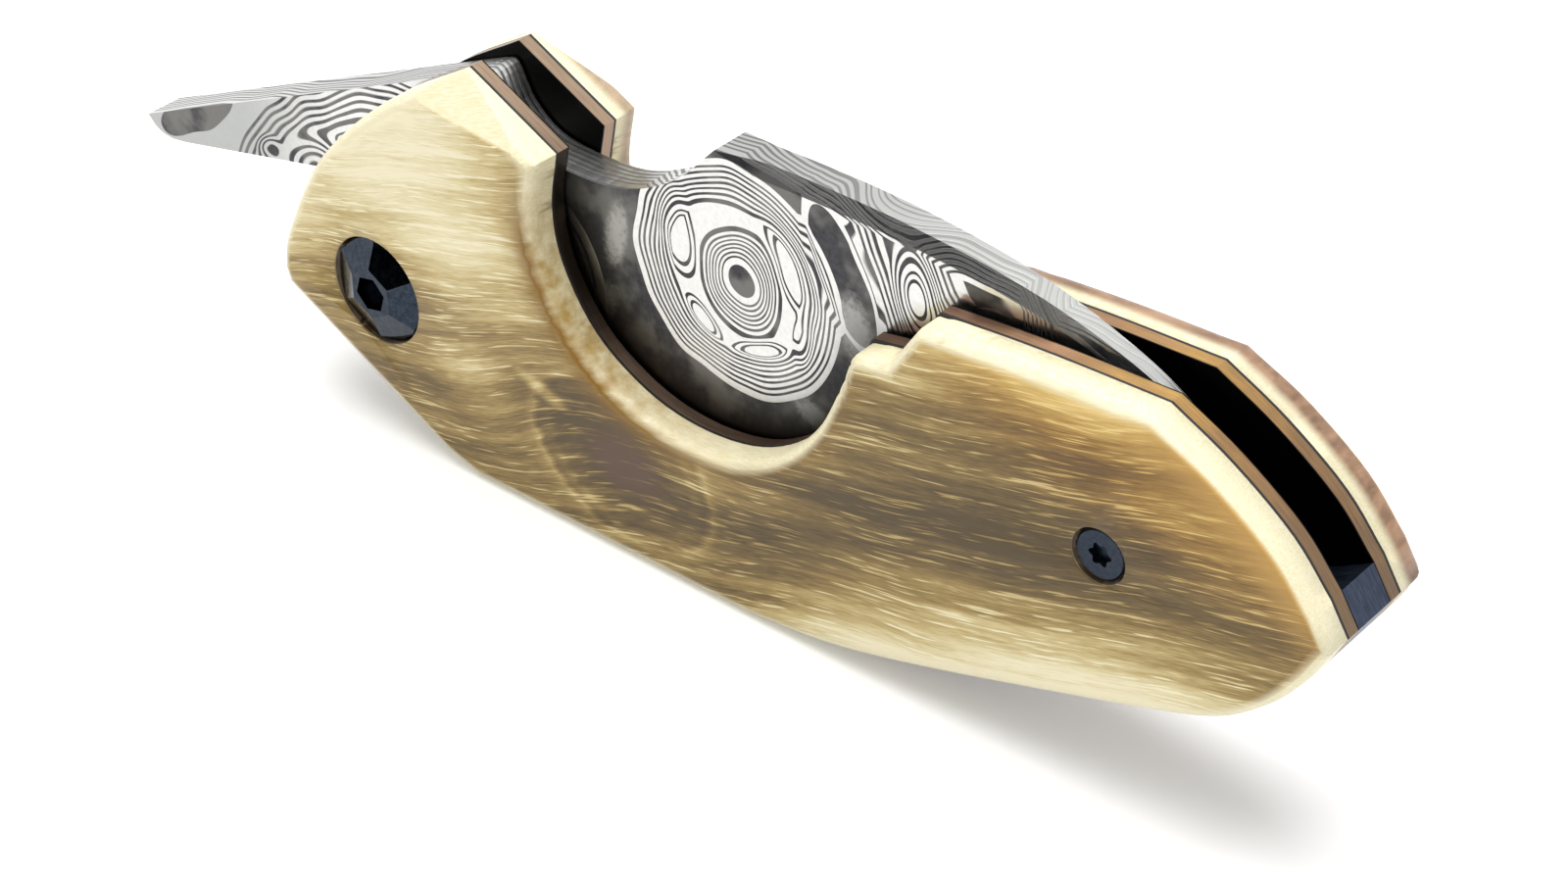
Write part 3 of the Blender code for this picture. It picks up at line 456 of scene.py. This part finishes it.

# %% [markdown]
# The cut walls of the scales stayed pale, but they aged where the hand holds them. The walls of the
# narrow gaps round the two screw heads are darkened as painted shade, which gives them their dark outline.

# %% Pale walls
# The seats of the pivot's head and the rear screw's: middle ahead and up, and radius in mm
SEATS = [(0.0, 0.0, 6.2), (83.2, 8.5, 3.2)]
WALL = (7.42, 7.15)             # mm from the middle plane, from no pale wall to all of it
AGED_WALL = ((22.0, 5.0), (26.0, 19.0), 0, 0.1)


def with_walls(tree, face, place, bent, depth, grain):
    """Adds pale walls below the face, aged round the groove, with painted shade in the gaps round the
    screws.
    """
    _, streak, _, thread = grain
    edge = add(tree, "Math", TIMES_PLUS, {0: streak, 1: 0.03, 2: depth}).outputs[0]
    wall = add(tree, "MapRange", SMOOTH,
               {"Value": edge, "From Min": WALL[0], "From Max": WALL[1]}).outputs[0]
    pale = add(tree, "ValToRGB", {}, {"Fac": thread}, [(0.3, "#E3D8AB"), (0.7, "#F3ECD0")]).outputs["Color"]
    aged = patch_share(tree, bent, *AGED_WALL)
    mottle = add(tree, "TexNoise", {}, {"Vector": place, "Scale": 0.6, "Detail": 4.0}).outputs["Fac"]
    mottle = add(tree, "MapRange", {},
                 {"Value": mottle, "From Min": 0.35, "From Max": 0.65, "To Min": 0.35}).outputs[0]
    aged = add(tree, "Math", TIMES, {0: aged, 1: mottle}).outputs[0]
    pale = add(tree, "Mix", COLOURS, {"Factor": aged, "A": pale, "B": colour("#AE9050")}).outputs["Result"]
    face = add(tree, "Mix", COLOURS, {"Factor": wall, "A": face, "B": pale}).outputs["Result"]
    # Painted shade: the walls of the gaps round the screw heads are darkened
    for x, z, seat in SEATS:
        seat_shade = patch_share(tree, place, (x, z), (seat, seat), 0, 0.93, "LINEAR")
        seat_shade = add(tree, "Math", TIMES, {0: seat_shade, 1: wall}).outputs[0]
        face = add(tree, "Mix", COLOURS,
                   {"Factor": seat_shade, "A": face, "B": colour("#4A3719")}).outputs["Result"]
    return face


# The dark rings round the seats are painted shade.
print("screw seats with dirt round them:", len(SEATS))

# %% [markdown]
# The far scale was cut just under the bark, so a brown band runs along its wall and arris, broken and
# denser towards the butt. Grinding took it off the outer face.

# %% Bark on the far wall
BARK = (4.5, 5.9)               # mm from the middle plane, from none to full bark
BARK_GROUND = (7.40, 7.20)      # and from ground free to full bark, near the outer face
BARK_FADE = (76.0, 104.0)       # mm ahead between which it gets denser
BARK_RAGGED = 60.0              # mm that the broad bands shift that


def with_bark(tree, face, axes, grain):
    """Adds the bark on the far scale's wall and arris. Its outer face was ground below the bark."""
    broad, streak, _, _ = grain
    bark = add(tree, "MapRange", SMOOTH,
               {"Value": axes.outputs["Y"], "From Min": BARK[0], "From Max": BARK[1]}).outputs[0]
    ground = add(tree, "MapRange", SMOOTH,
                 {"Value": axes.outputs["Y"], "From Min": BARK_GROUND[0],
                  "From Max": BARK_GROUND[1]}).outputs[0]
    bark = add(tree, "Math", TIMES, {0: bark, 1: ground}).outputs[0]
    ahead = add(tree, "Math", TIMES_PLUS, {0: broad, 1: BARK_RAGGED, 2: axes.outputs["X"]}).outputs[0]
    dense = add(tree, "MapRange", SMOOTH,
                {"Value": ahead, "From Min": BARK_FADE[0], "From Max": BARK_FADE[1],
                 "To Min": 0.75}).outputs[0]
    bark = add(tree, "Math", TIMES, {0: bark, 1: dense}).outputs[0]
    brown = add(tree, "ValToRGB", {}, {"Fac": streak},
                [(0.35, "#7C604A"), (0.65, "#A9866A")]).outputs["Color"]
    return add(tree, "Mix", COLOURS, {"Factor": bark, "A": face, "B": brown}).outputs["Result"]


print("bark starts", BARK[0], "mm from the middle plane")

# %% [markdown]
# The arris between wall and face took on colour: it has a brown rim round the finger groove and a golden
# one along the butt.

# %% Brown and golden rims
GROOVE_RIM = (17.4, 23.4)       # mm from the middle of the groove, over which the rim lies
RIM_SIDE = (50.0, 28.0)         # mm ahead between which the rim gets stronger
RIM_TOP = (21.0, 13.0)          # mm up between which it sets in
BUTT_LINE = (6.9, 7.4)          # mm from the middle plane, across the golden line on the arris
BUTT_FACE = (6.95, 7.2)         # and from the wall to the face that the gold stays on
BUTT = ((98.0, 20.0), (17.5, 17.5), 0, 0.3)              # the corner that has the golden rim
BUTT_INSIDE = ((75.0, -10.0), (35.3, 35.3), 0, 0.88)     # leaves a golden band along the butt


def with_rims(tree, face, place, axes, depth, streak):
    """Adds a brown rim round the groove and a golden one at the butt, where wall turns into face."""
    from_groove = add(tree, "VectorMath", MINUS, {0: place, 1: (GROOVE[0], 0, GROOVE[1])}).outputs[0]
    flat = add(tree, "VectorMath", TIMES, {0: from_groove, 1: (1, 0, 1)}).outputs[0]
    out = add(tree, "VectorMath", {"operation": "LENGTH"}, {0: flat}).outputs["Value"]
    out = add(tree, "Math", TIMES_PLUS, {0: streak, 1: 0.9, 2: out}).outputs[0]
    out = add(tree, "MapRange", {},
              {"Value": out, "From Min": GROOVE_RIM[0], "From Max": GROOVE_RIM[1]}).outputs[0]
    rim = add(tree, "ValToRGB", {}, {"Fac": out},
              [(0.24, 0.0), (0.36, 1.0), (0.44, 0.7), (0.62, 0.2), (0.9, 0.0)]).outputs["Color"]
    side = add(tree, "MapRange", SMOOTH,
               {"Value": axes.outputs["X"], "From Min": RIM_SIDE[0], "From Max": RIM_SIDE[1],
                "To Min": 0.3}).outputs[0]
    low = add(tree, "MapRange", {},
              {"Value": axes.outputs["Z"], "From Min": RIM_TOP[0], "From Max": RIM_TOP[1]}).outputs[0]
    rim = add(tree, "Math", TIMES, {0: rim, 1: low}).outputs[0]
    rim = add(tree, "Math", TIMES, {0: rim, 1: side}).outputs[0]
    face = add(tree, "Mix", COLOURS, {"Factor": rim, "A": face, "B": colour("#85611F")}).outputs["Result"]

    over = add(tree, "MapRange", {},
               {"Value": depth, "From Min": BUTT_LINE[0], "From Max": BUTT_LINE[1]}).outputs[0]
    line = add(tree, "ValToRGB", {}, {"Fac": over},
               [(0.35, 0.0), (0.80, 0.85), (0.94, 0.85), (1.0, 0.0)]).outputs["Color"]
    butt = patch_share(tree, place, *BUTT)
    inside = patch_share(tree, place, *BUTT_INSIDE)
    band = add(tree, "Math", TIMES_PLUS, {0: inside, 1: -0.75, 2: 0.75}).outputs[0]
    line = add(tree, "Math", LARGER, {0: line, 1: band}).outputs[0]
    line = add(tree, "Math", TIMES, {0: line, 1: butt}).outputs[0]
    polished = add(tree, "MapRange", {},
                   {"Value": depth, "From Min": BUTT_FACE[0], "From Max": BUTT_FACE[1]}).outputs[0]
    line = add(tree, "Math", TIMES, {0: line, 1: polished}).outputs[0]
    return add(tree, "Mix", COLOURS, {"Factor": line, "A": face, "B": colour("#C99D52")}).outputs["Result"]


print("the groove's rim lies", GROOVE_RIM, "mm from its middle")

# %% [markdown]
# Each scale gets its own stains, knot and seed. The polish keeps a shallow tooth along the streaks.

# %% Fossil ivory
DRIFT = 4.0                     # mm that grain and stains wander
DRIFT_SCALE = 0.045             # waves of that per mm


def fossil_ivory(name, stains, knot, seed):
    """Polished fossil ivory: cream to brown, with straight grain, pale walls and golden arrises."""
    material, tree, shader, place = start_material(name)
    drift = add(tree, "TexNoise", {"noise_dimensions": "4D"},
                {"Vector": place, "W": seed, "Scale": DRIFT_SCALE, "Detail": 1.0}).outputs["Color"]
    centred = add(tree, "VectorMath", MINUS, {0: drift, 1: (0.5, 0.5, 0.5)}).outputs[0]
    bent = add(tree, "VectorMath", TIMES_PLUS, {0: centred, 1: (DRIFT, 0.0, DRIFT), 2: place}).outputs[0]
    axes = add(tree, "SeparateXYZ", {}, {0: place})
    depth = add(tree, "Math", {"operation": "ABSOLUTE"}, {0: axes.outputs["Y"]}).outputs[0]
    grain = ivory_grain(tree, place, bent, knot, seed)
    _, streak, _, thread = grain
    face = polished_ivory(tree, bent, grain, stains, knot)
    face = with_walls(tree, face, place, bent, depth, grain)
    face = with_bark(tree, face, axes, grain)
    face = with_rims(tree, face, place, axes, depth, streak)
    tooth = add(tree, "Bump", {}, {"Height": streak, "Strength": 0.25, "Distance": 0.05 * MM}).outputs[0]
    sheen = add(tree, "MapRange", {}, {"Value": thread, "From Min": 0.3, "From Max": 0.7,
                                       "To Min": 0.30, "To Max": 0.46}).outputs[0]
    tree.links.new(face, shader.inputs["Base Color"])
    tree.links.new(tooth, shader.inputs["Normal"])
    tree.links.new(sheen, shader.inputs["Roughness"])
    shader.inputs["Specular IOR Level"].default_value = 0.35
    shader.inputs["IOR"].default_value = 1.54
    return material


FINISHES = {"scale_near": fossil_ivory("fossil_ivory_near", NEAR_STAINS, KNOTS["near"], 0.0),
            "scale_far": fossil_ivory("fossil_ivory_far", FAR_STAINS, KNOTS["far"], 5.0)}
print("ivory finishes:", len(FINISHES))

# %% [markdown]
# ### Soft creases
# Each scale was filed down at the ear, where the thumb comes over it, and then buffed on a soft wheel.
# The buff leaves no crease between the flat and the relief, and it rounds the corners of the step in
# front of the finger groove. The solid model has both sharp, so each scale is shaped again from a copy
# of it. Planes cut a fine raster into the copy near those places, and the points between the cuts then
# relax: sideways at the ear, and in the plane of the scale at the step. The rest stays as it was.

# %% Cuts, and points that settle
# Each row: ahead from and to, up from and to in mm, whether the relief relaxes or the outline, and passes
BUFFED = [
    (-3.0, 22.0, 7.0, 27.5, "relief", 26),
    (55.5, 69.0, 11.0, 25.5, "outline", 7),
]
RASTER = 0.6                               # mm between the cuts
SNAP = 0.004                               # mm within which a cut takes a point that is there already
FACE_SIDE = 4.1                            # mm from the middle plane, just outside the scale's back
SETTLE = 0.5                               # share of the way to its neighbours that a point moves
OUTWARD = 0.8                              # sideways share of the normal, at least, on the outer face


def faces_in(work, window):
    """The faces whose middle lies in a window, given in mm from the pivot."""
    x_low, x_high, z_low, z_high = [value * MM for value in window]
    found = []
    for face in work.faces:
        middle = face.calc_center_median() - pivot_place
        if x_low < middle.x < x_high and z_low < middle.z < z_high:
            found.append(face)
    return found


def cut(work, faces, distance, axis):
    """Cuts faces along a plane at a distance in mm from the pivot."""
    parts = set(faces)
    for face in faces:
        parts.update(face.edges)
        parts.update(face.verts)
    bmesh.ops.bisect_plane(work, geom=list(parts), dist=SNAP * MM,
                           plane_co=pivot_place + axis * distance * MM, plane_no=axis)


def raster(work, window):
    """Cuts a raster into the faces of a window."""
    sides = ((window[0], window[1], Vector((1, 0, 0))), (window[2], window[3], Vector((0, 0, 1))))
    for low, high, axis in sides:
        cut(work, work.faces[:], low, axis)
        cut(work, work.faces[:], high, axis)
    for low, high, axis in sides:
        for step in range(1, round((high - low) / RASTER)):
            cut(work, faces_in(work, window), low + step * RASTER, axis)


def relax(work, window, kind, passes):
    """Lets the points inside a window settle between their neighbours."""
    free = set(faces_in(work, window))
    if kind == "relief":
        work.normal_update()
        free = {face for face in free
                if abs(face.normal.y) > OUTWARD and abs(face.calc_center_median().y) > FACE_SIDE * MM}
    loose = [vert for vert in work.verts
             if vert.link_faces and all(face in free for face in vert.link_faces)]
    for _ in range(passes):
        bmesh.ops.smooth_vert(work, verts=loose, factor=SETTLE, use_axis_x=kind == "outline",
                              use_axis_y=kind == "relief", use_axis_z=kind == "outline")
    return len(loose)


print("soft places on each scale:", len(BUFFED))

# %% [markdown]
# The new mesh is shaded smooth, and edges sharper than a soft crease stay sharp. The flats count fully
# in the weighted normals, so that the buffed places shade into them and leave them flat.

# %% Softened scales
WELD = 0.0005                              # mm within which points of the copy are one
LEVEL = 0.999                              # sideways share of the normal on a flat
SHARP = 32                                 # degrees from which an edge stays sharp


def buffed_scale(name):
    """A scale with its ear's crease and its step's corners buffed soft."""
    mesh = bpy.data.meshes.new("ivory_" + name)
    work = bmesh.new()
    work.from_mesh(nodes[name].data)
    bmesh.ops.remove_doubles(work, verts=work.verts, dist=WELD * MM)
    settled = []
    for *window, kind, passes in BUFFED:
        raster(work, window)
        settled.append(relax(work, window, kind, passes))
    bmesh.ops.dissolve_degenerate(work, dist=SNAP * MM, edges=work.edges)
    work.normal_update()
    work.verts.index_update()
    flat = {vert.index for face in work.faces if abs(face.normal.y) > LEVEL
            and abs(face.calc_center_median().y) > FACE_SIDE * MM for vert in face.verts}
    print(name, "has", len(work.faces), "faces, and these many points settled:", settled)
    work.to_mesh(mesh)
    work.free()
    mesh.shade_smooth()
    mesh.set_sharp_from_angle(angle=math.radians(SHARP))
    mesh.materials.append(FINISHES[name])
    piece = bpy.data.objects.new("ivory_" + name, mesh)
    bpy.context.scene.collection.objects.link(piece)
    piece.vertex_groups.new(name="flats").add(sorted(flat), 1.0, "REPLACE")
    even = piece.modifiers.new("flats_stay_flat", "WEIGHTED_NORMAL")
    even.vertex_group = "flats"
    even.keep_sharp = True
    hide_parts(name)
    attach(piece, "handle")


for side_name in FINISHES:
    buffed_scale(side_name)

# %% [markdown]
# ## Liners and fibre
# The liners are titanium plates. A low-voltage anodising bath gives titanium a bronze film, and the
# ground edges show it from pinkish tan to gold. The faces towards the blade are painted near black,
# and the near plate's front wall in the finger groove is darkened as painted shade.

# %% Bronze titanium
INNER_FACE = (2.48, 2.40)       # mm from the middle plane, from bronze edge to black inner face
FILM_SPAN = (20.0, 112.0)       # mm ahead over which the film's colour changes
FILM_MOTTLE = 14.0              # mm that a mottle shifts it
FILM = [(0.0, "#94806C"), (0.35, "#A68A76"), (0.55, "#A88470"), (0.70, "#B08A66"), (0.78, "#C39C5E"),
        (0.88, "#A07F5C"), (1.0, "#86705A")]
# The groove's front wall, as a patch of painted shade
SHADED_GROOVE_WALL = ((22.0, 14.0), (15.0, 15.0), 0, 0.4)
SHADE_FACING = (0.15, 0.85)      # forward share of its normal, from no painted shade to full


def bronze_titanium():
    """Anodised titanium: satin bronze edges, inner faces painted near black, painted shade on the groove's
    near front wall.
    """
    material, tree, shader, place = start_material("bronze_anodised_titanium")
    axes = add(tree, "SeparateXYZ", {}, {0: place})
    brushed = add(tree, "VectorMath", TIMES, {0: place, 1: (0.25, 6.0, 0.25)})
    lines = add(tree, "TexNoise", {}, {"Vector": brushed.outputs[0], "Scale": 1.0, "Detail": 4.0,
                                       "Roughness": 0.7}).outputs["Fac"]
    mottle = add(tree, "TexNoise", {}, {"Vector": place, "Scale": 0.35, "Detail": 3.0}).outputs["Fac"]
    reach = add(tree, "Math", TIMES_PLUS, {0: mottle, 1: FILM_MOTTLE, 2: axes.outputs["X"]}).outputs[0]
    share = add(tree, "MapRange", {},
                {"Value": reach, "From Min": FILM_SPAN[0], "From Max": FILM_SPAN[1]}).outputs[0]
    film = add(tree, "ValToRGB", {}, {"Fac": share}, FILM).outputs["Color"]
    scratch = add(tree, "ValToRGB", {}, {"Fac": lines},
                  [(0.3, "#A8A8A8"), (0.65, "#FFFFFF")]).outputs["Color"]
    bronze = add(tree, "Mix", {"data_type": "RGBA", "blend_type": "MULTIPLY"},
                 {"Factor": 0.55, "A": film, "B": scratch}).outputs["Result"]
    depth = add(tree, "Math", {"operation": "ABSOLUTE"}, {0: axes.outputs["Y"]}).outputs[0]
    inner = add(tree, "MapRange", {},
                {"Value": depth, "From Min": INNER_FACE[0], "From Max": INNER_FACE[1]}).outputs[0]
    face = add(tree, "Mix", COLOURS,
               {"Factor": inner, "A": bronze, "B": colour("#0E0D0D")}).outputs["Result"]
    # Painted shade: the near liner's forward-facing wall in the finger groove is darkened
    forward = add(tree, "SeparateXYZ", {}, {0: add(tree, "TexCoord").outputs["Normal"]}).outputs["X"]
    front = add(tree, "MapRange", SMOOTH,
                {"Value": forward, "From Min": SHADE_FACING[0], "From Max": SHADE_FACING[1],
                 "To Max": 0.85}).outputs[0]
    near_side = add(tree, "Math", {"operation": "LESS_THAN"}, {0: axes.outputs["Y"], 1: 0.0}).outputs[0]
    dull = patch_share(tree, place, *SHADED_GROOVE_WALL)
    dull = add(tree, "Math", TIMES, {0: dull, 1: front}).outputs[0]
    dull = add(tree, "Math", TIMES, {0: dull, 1: near_side}).outputs[0]
    face = add(tree, "Mix", COLOURS, {"Factor": dull, "A": face, "B": colour("#15120F")}).outputs["Result"]
    rough = add(tree, "MapRange", {}, {"Value": lines, "To Min": 0.30, "To Max": 0.52}).outputs[0]
    tooth = add(tree, "Bump", {}, {"Height": lines, "Strength": 0.3, "Distance": 0.02 * MM}).outputs[0]
    tree.links.new(face, shader.inputs["Base Color"])
    tree.links.new(rough, shader.inputs["Roughness"])
    tree.links.new(tooth, shader.inputs["Normal"])
    shader.inputs["Metallic"].default_value = 1.0
    return material


dress(bronze_titanium(), "liner_near", "liner_far")
print("liners dressed")

# %% [markdown]
# Thin black vulcanised fibre, pressed paper with a matt face, lies between liner and scale and shows
# as a dark line. Like the small parts it needs no pattern of its own, so one function serves them all:
# two close tones and a grain at the scale of the real one.

# %% Black fibre
def grained_finish(name, dark, light, metallic, roughness, grain, depth):
    """A plain finish with grain: its two tones, gloss range, grain scale per mm and depth in mm."""
    material, tree, shader, place = start_material(name)
    pulled = add(tree, "VectorMath", TIMES, {0: place, 1: grain})
    speck = add(tree, "TexNoise", {}, {"Vector": pulled.outputs[0], "Scale": 1.0, "Detail": 5.0,
                                       "Roughness": 0.65}).outputs["Fac"]
    tones = add(tree, "ValToRGB", {}, {"Fac": speck}, [(0.3, dark), (0.7, light)]).outputs["Color"]
    tree.links.new(tones, shader.inputs["Base Color"])
    rough = add(tree, "MapRange", {}, {"Value": speck, "From Min": 0.3, "From Max": 0.7,
                                       "To Min": roughness[0], "To Max": roughness[1]})
    tooth = add(tree, "Bump", {}, {"Height": speck, "Strength": 0.4, "Distance": depth * MM})
    tree.links.new(rough.outputs[0], shader.inputs["Roughness"])
    tree.links.new(tooth.outputs[0], shader.inputs["Normal"])
    shader.inputs["Metallic"].default_value = metallic
    return material


dress(grained_finish("black_vulcanised_fibre", "#0C0B0B", "#1E1C1B", 0.0, (0.55, 0.75), (3, 3, 3), 0.02),
      "fibre_near", "fibre_far")
print("fibre dressed")

# %% [markdown]
# ## Screws, pins and the backspacer
# The pivot's head is steel with a hard black coat over six polished facets. The rear screws have the
# same coat left satin from the lathe. The backspacer is titanium heated until it turned slate blue.
# The pins are plain ground steel, and the washers are phosphor bronze. Both hide inside the handle.

# %% Small parts
dress(grained_finish("polished_black_steel", "#20262F", "#38404B", 1.0, (0.08, 0.16), (2, 2, 2), 0.002),
      "pivot_screw", "pivot_barrel")
dress(grained_finish("satin_black_steel", "#262C35", "#3A414C", 1.0, (0.34, 0.48), (4, 4, 4), 0.01),
      "rear_screw_near", "rear_screw_far")
dress(grained_finish("heat_blued_titanium", "#283040", "#4C5568", 1.0, (0.30, 0.50), (0.6, 9, 0.6), 0.03),
      "backspacer")
dress(grained_finish("ground_steel", "#8C8C8E", "#B4B4B6", 1.0, (0.25, 0.40), (5, 5, 5), 0.01),
      "stop_pin", "front_dowel", "rear_dowel", "liner_screw_near_front", "liner_screw_near_rear",
      "liner_screw_far_front", "liner_screw_far_rear")
dress(grained_finish("phosphor_bronze", "#9C6A3C", "#BE8A55", 1.0, (0.25, 0.40), (4, 4, 4), 0.01),
      "washer_near", "washer_far")
print("small parts dressed")

# %% [markdown]
# ## The studio
# The knife stands on a white sweep under a large soft lamp, with white walls all round. The walls
# and the floor look pure white to the camera and in reflections, and their light on the knife stays
# at a plain level. The dark opening that the camera looks in through is a card that only shows in
# polished metal. It gives the spine's chamfer and the pivot's facets something dark to mirror. Far
# from the knife the lamp's light runs out, and there the floor is lifted to white for the camera.

# %% White surroundings
WHITE = colour("#FFFFFF")
WALL_LIGHT = 0.55               # what the walls shed on the knife, with pure white as 1


def seen_directly(tree):
    """1 for rays that come from the camera, from a mirror or through glass."""
    path = add(tree, "LightPath")
    either = add(tree, "Math", LARGER, {0: path.outputs["Is Camera Ray"], 1: path.outputs["Is Glossy Ray"]})
    return add(tree, "Math", LARGER,
               {0: either.outputs[0], 1: path.outputs["Is Transmission Ray"]}).outputs[0]


world = bpy.data.worlds.new("white_walls")
world.use_nodes = True
bpy.context.scene.world = world
surround = world.node_tree
plain = surround.nodes["Background"]
plain.inputs["Color"].default_value = WHITE
plain.inputs["Strength"].default_value = WALL_LIGHT
white = add(surround, "Background", {}, {"Color": WHITE, "Strength": 1.0})
chosen = add(surround, "MixShader", {},
             {0: seen_directly(surround), 1: plain.outputs[0], 2: white.outputs[0]})
surround.links.new(chosen.outputs[0], surround.nodes["World Output"].inputs["Surface"])
print("light of the walls on the knife:", WALL_LIGHT)

# %% White sweep
SWEEP = 6.0                     # m across
SWEEP_GAP = 0.02                # mm below the knife, so that the two never flicker through each other
SWEEP_LIFT = 0.2                # glow that brings lit paper to pure white for camera and mirrors
SWEEP_FAR = (0.3, 1.2)          # m away, between which the lamp's light runs out
SWEEP_FAR_LIFT = 0.8            # and the glow that makes up for it, for the camera alone


def stage_sheet(name, width, depth, place):
    """A flat sheet that belongs to the studio."""
    mesh = bpy.data.meshes.new(name)
    work = bmesh.new()
    bmesh.ops.create_grid(work, x_segments=1, y_segments=1, size=0.5,
                          matrix=Matrix.Diagonal((width, depth, 1, 1)))
    bmesh.ops.transform(work, matrix=place, verts=work.verts)
    work.to_mesh(mesh)
    work.free()
    item = bpy.data.objects.new(name, mesh)
    bpy.context.scene.collection.objects.link(item)
    return item


floor = stage_sheet("white_sweep", SWEEP, SWEEP, Matrix.Translation((0, 0, -SWEEP_GAP * MM)))
paper = bpy.data.materials.new("matt_white_paper")
paper.use_nodes = True
sheet = paper.node_tree
dull = sheet.nodes["Principled BSDF"]
dull.inputs["Base Color"].default_value = colour("#F2F2F2")
dull.inputs["Roughness"].default_value = 0.9
dull.inputs["Specular IOR Level"].default_value = 0.2
away = add(sheet, "VectorMath", {"operation": "LENGTH"}, {0: add(sheet, "TexCoord").outputs["Object"]})
far = add(sheet, "MapRange", SMOOTH,
          {"Value": away.outputs["Value"], "From Min": SWEEP_FAR[0], "From Max": SWEEP_FAR[1],
           "To Max": SWEEP_FAR_LIFT})
far = add(sheet, "Math", TIMES, {0: far.outputs[0], 1: add(sheet, "LightPath").outputs["Is Camera Ray"]})
level = add(sheet, "Math", TIMES_PLUS, {0: seen_directly(sheet), 1: SWEEP_LIFT, 2: far.outputs[0]})
lift = add(sheet, "Emission", {}, {"Color": WHITE, "Strength": level.outputs[0]})
both = add(sheet, "AddShader", {}, {0: dull.outputs[0], 1: lift.outputs[0]})
sheet.links.new(both.outputs[0], sheet.nodes["Material Output"].inputs["Surface"])
floor.data.materials.append(paper)
print("white sweep in m:", SWEEP)

# %% Dark card
CARD_SIZE = (0.9, 0.34)         # m
CARD_PLACE = (-0.22, -0.55, 0.13)

opening = stage_sheet("dark_opening", *CARD_SIZE,
                      Matrix.Translation(CARD_PLACE) @ Matrix.Rotation(math.pi / 2, 4, "X"))
felt = bpy.data.materials.new("black_felt")
felt.use_nodes = True
black = felt.node_tree.nodes["Principled BSDF"]
black.inputs["Base Color"].default_value = colour("#0A0A0C")
black.inputs["Roughness"].default_value = 1.0
black.inputs["Specular IOR Level"].default_value = 0.0
opening.data.materials.append(felt)
opening.visible_camera = False
opening.visible_diffuse = False
opening.visible_shadow = False
print("dark card in m:", CARD_SIZE)

# %% Lamp
LAMP_SIZE = 0.7                 # m
LAMP_WATTS = 7.0
LAMP_PLACE = (-0.04, 0.02, 0.75)
LAMP_AIM = (0, 0, 0.02)

lamp = bpy.data.lights.new("overhead_softbox", "AREA")
lamp.shape = "SQUARE"
lamp.size = LAMP_SIZE
lamp.energy = LAMP_WATTS
overhead = bpy.data.objects.new("overhead_softbox", lamp)
overhead.location = LAMP_PLACE
overhead.rotation_euler = (Vector(LAMP_AIM) - overhead.location).to_track_quat("-Z", "Y").to_euler()
bpy.context.scene.collection.objects.link(overhead)
print("lamp in m and W:", LAMP_SIZE, LAMP_WATTS)

# %% [markdown]
# The camera stands where the photographer stood. Its place and lens were worked out from the
# knife's own parallel edges: about 0.3 m away, 35 degrees above the floor, with a short telephoto lens.

# %% Camera and picture settings
CAMERA_PLACE = (0.169374, -0.191843, 0.190478)    # m
CAMERA_TURN = (54.823, 0.0, 39.6016)              # degrees
LENS = 77.84                                      # mm, on a sensor 36 mm wide

eye = bpy.data.cameras.new("photo_camera")
eye.lens = LENS
eye.sensor_width = 36.0
eye.clip_start = 0.01
camera = bpy.data.objects.new("photo_camera", eye)
camera.location = CAMERA_PLACE
camera.rotation_euler = [math.radians(angle) for angle in CAMERA_TURN]
bpy.context.scene.collection.objects.link(camera)
bpy.context.scene.camera = camera
bpy.context.scene.view_settings.view_transform = "Standard"
print("camera to pivot in m:", round((camera.location - pivot_place).length, 3))
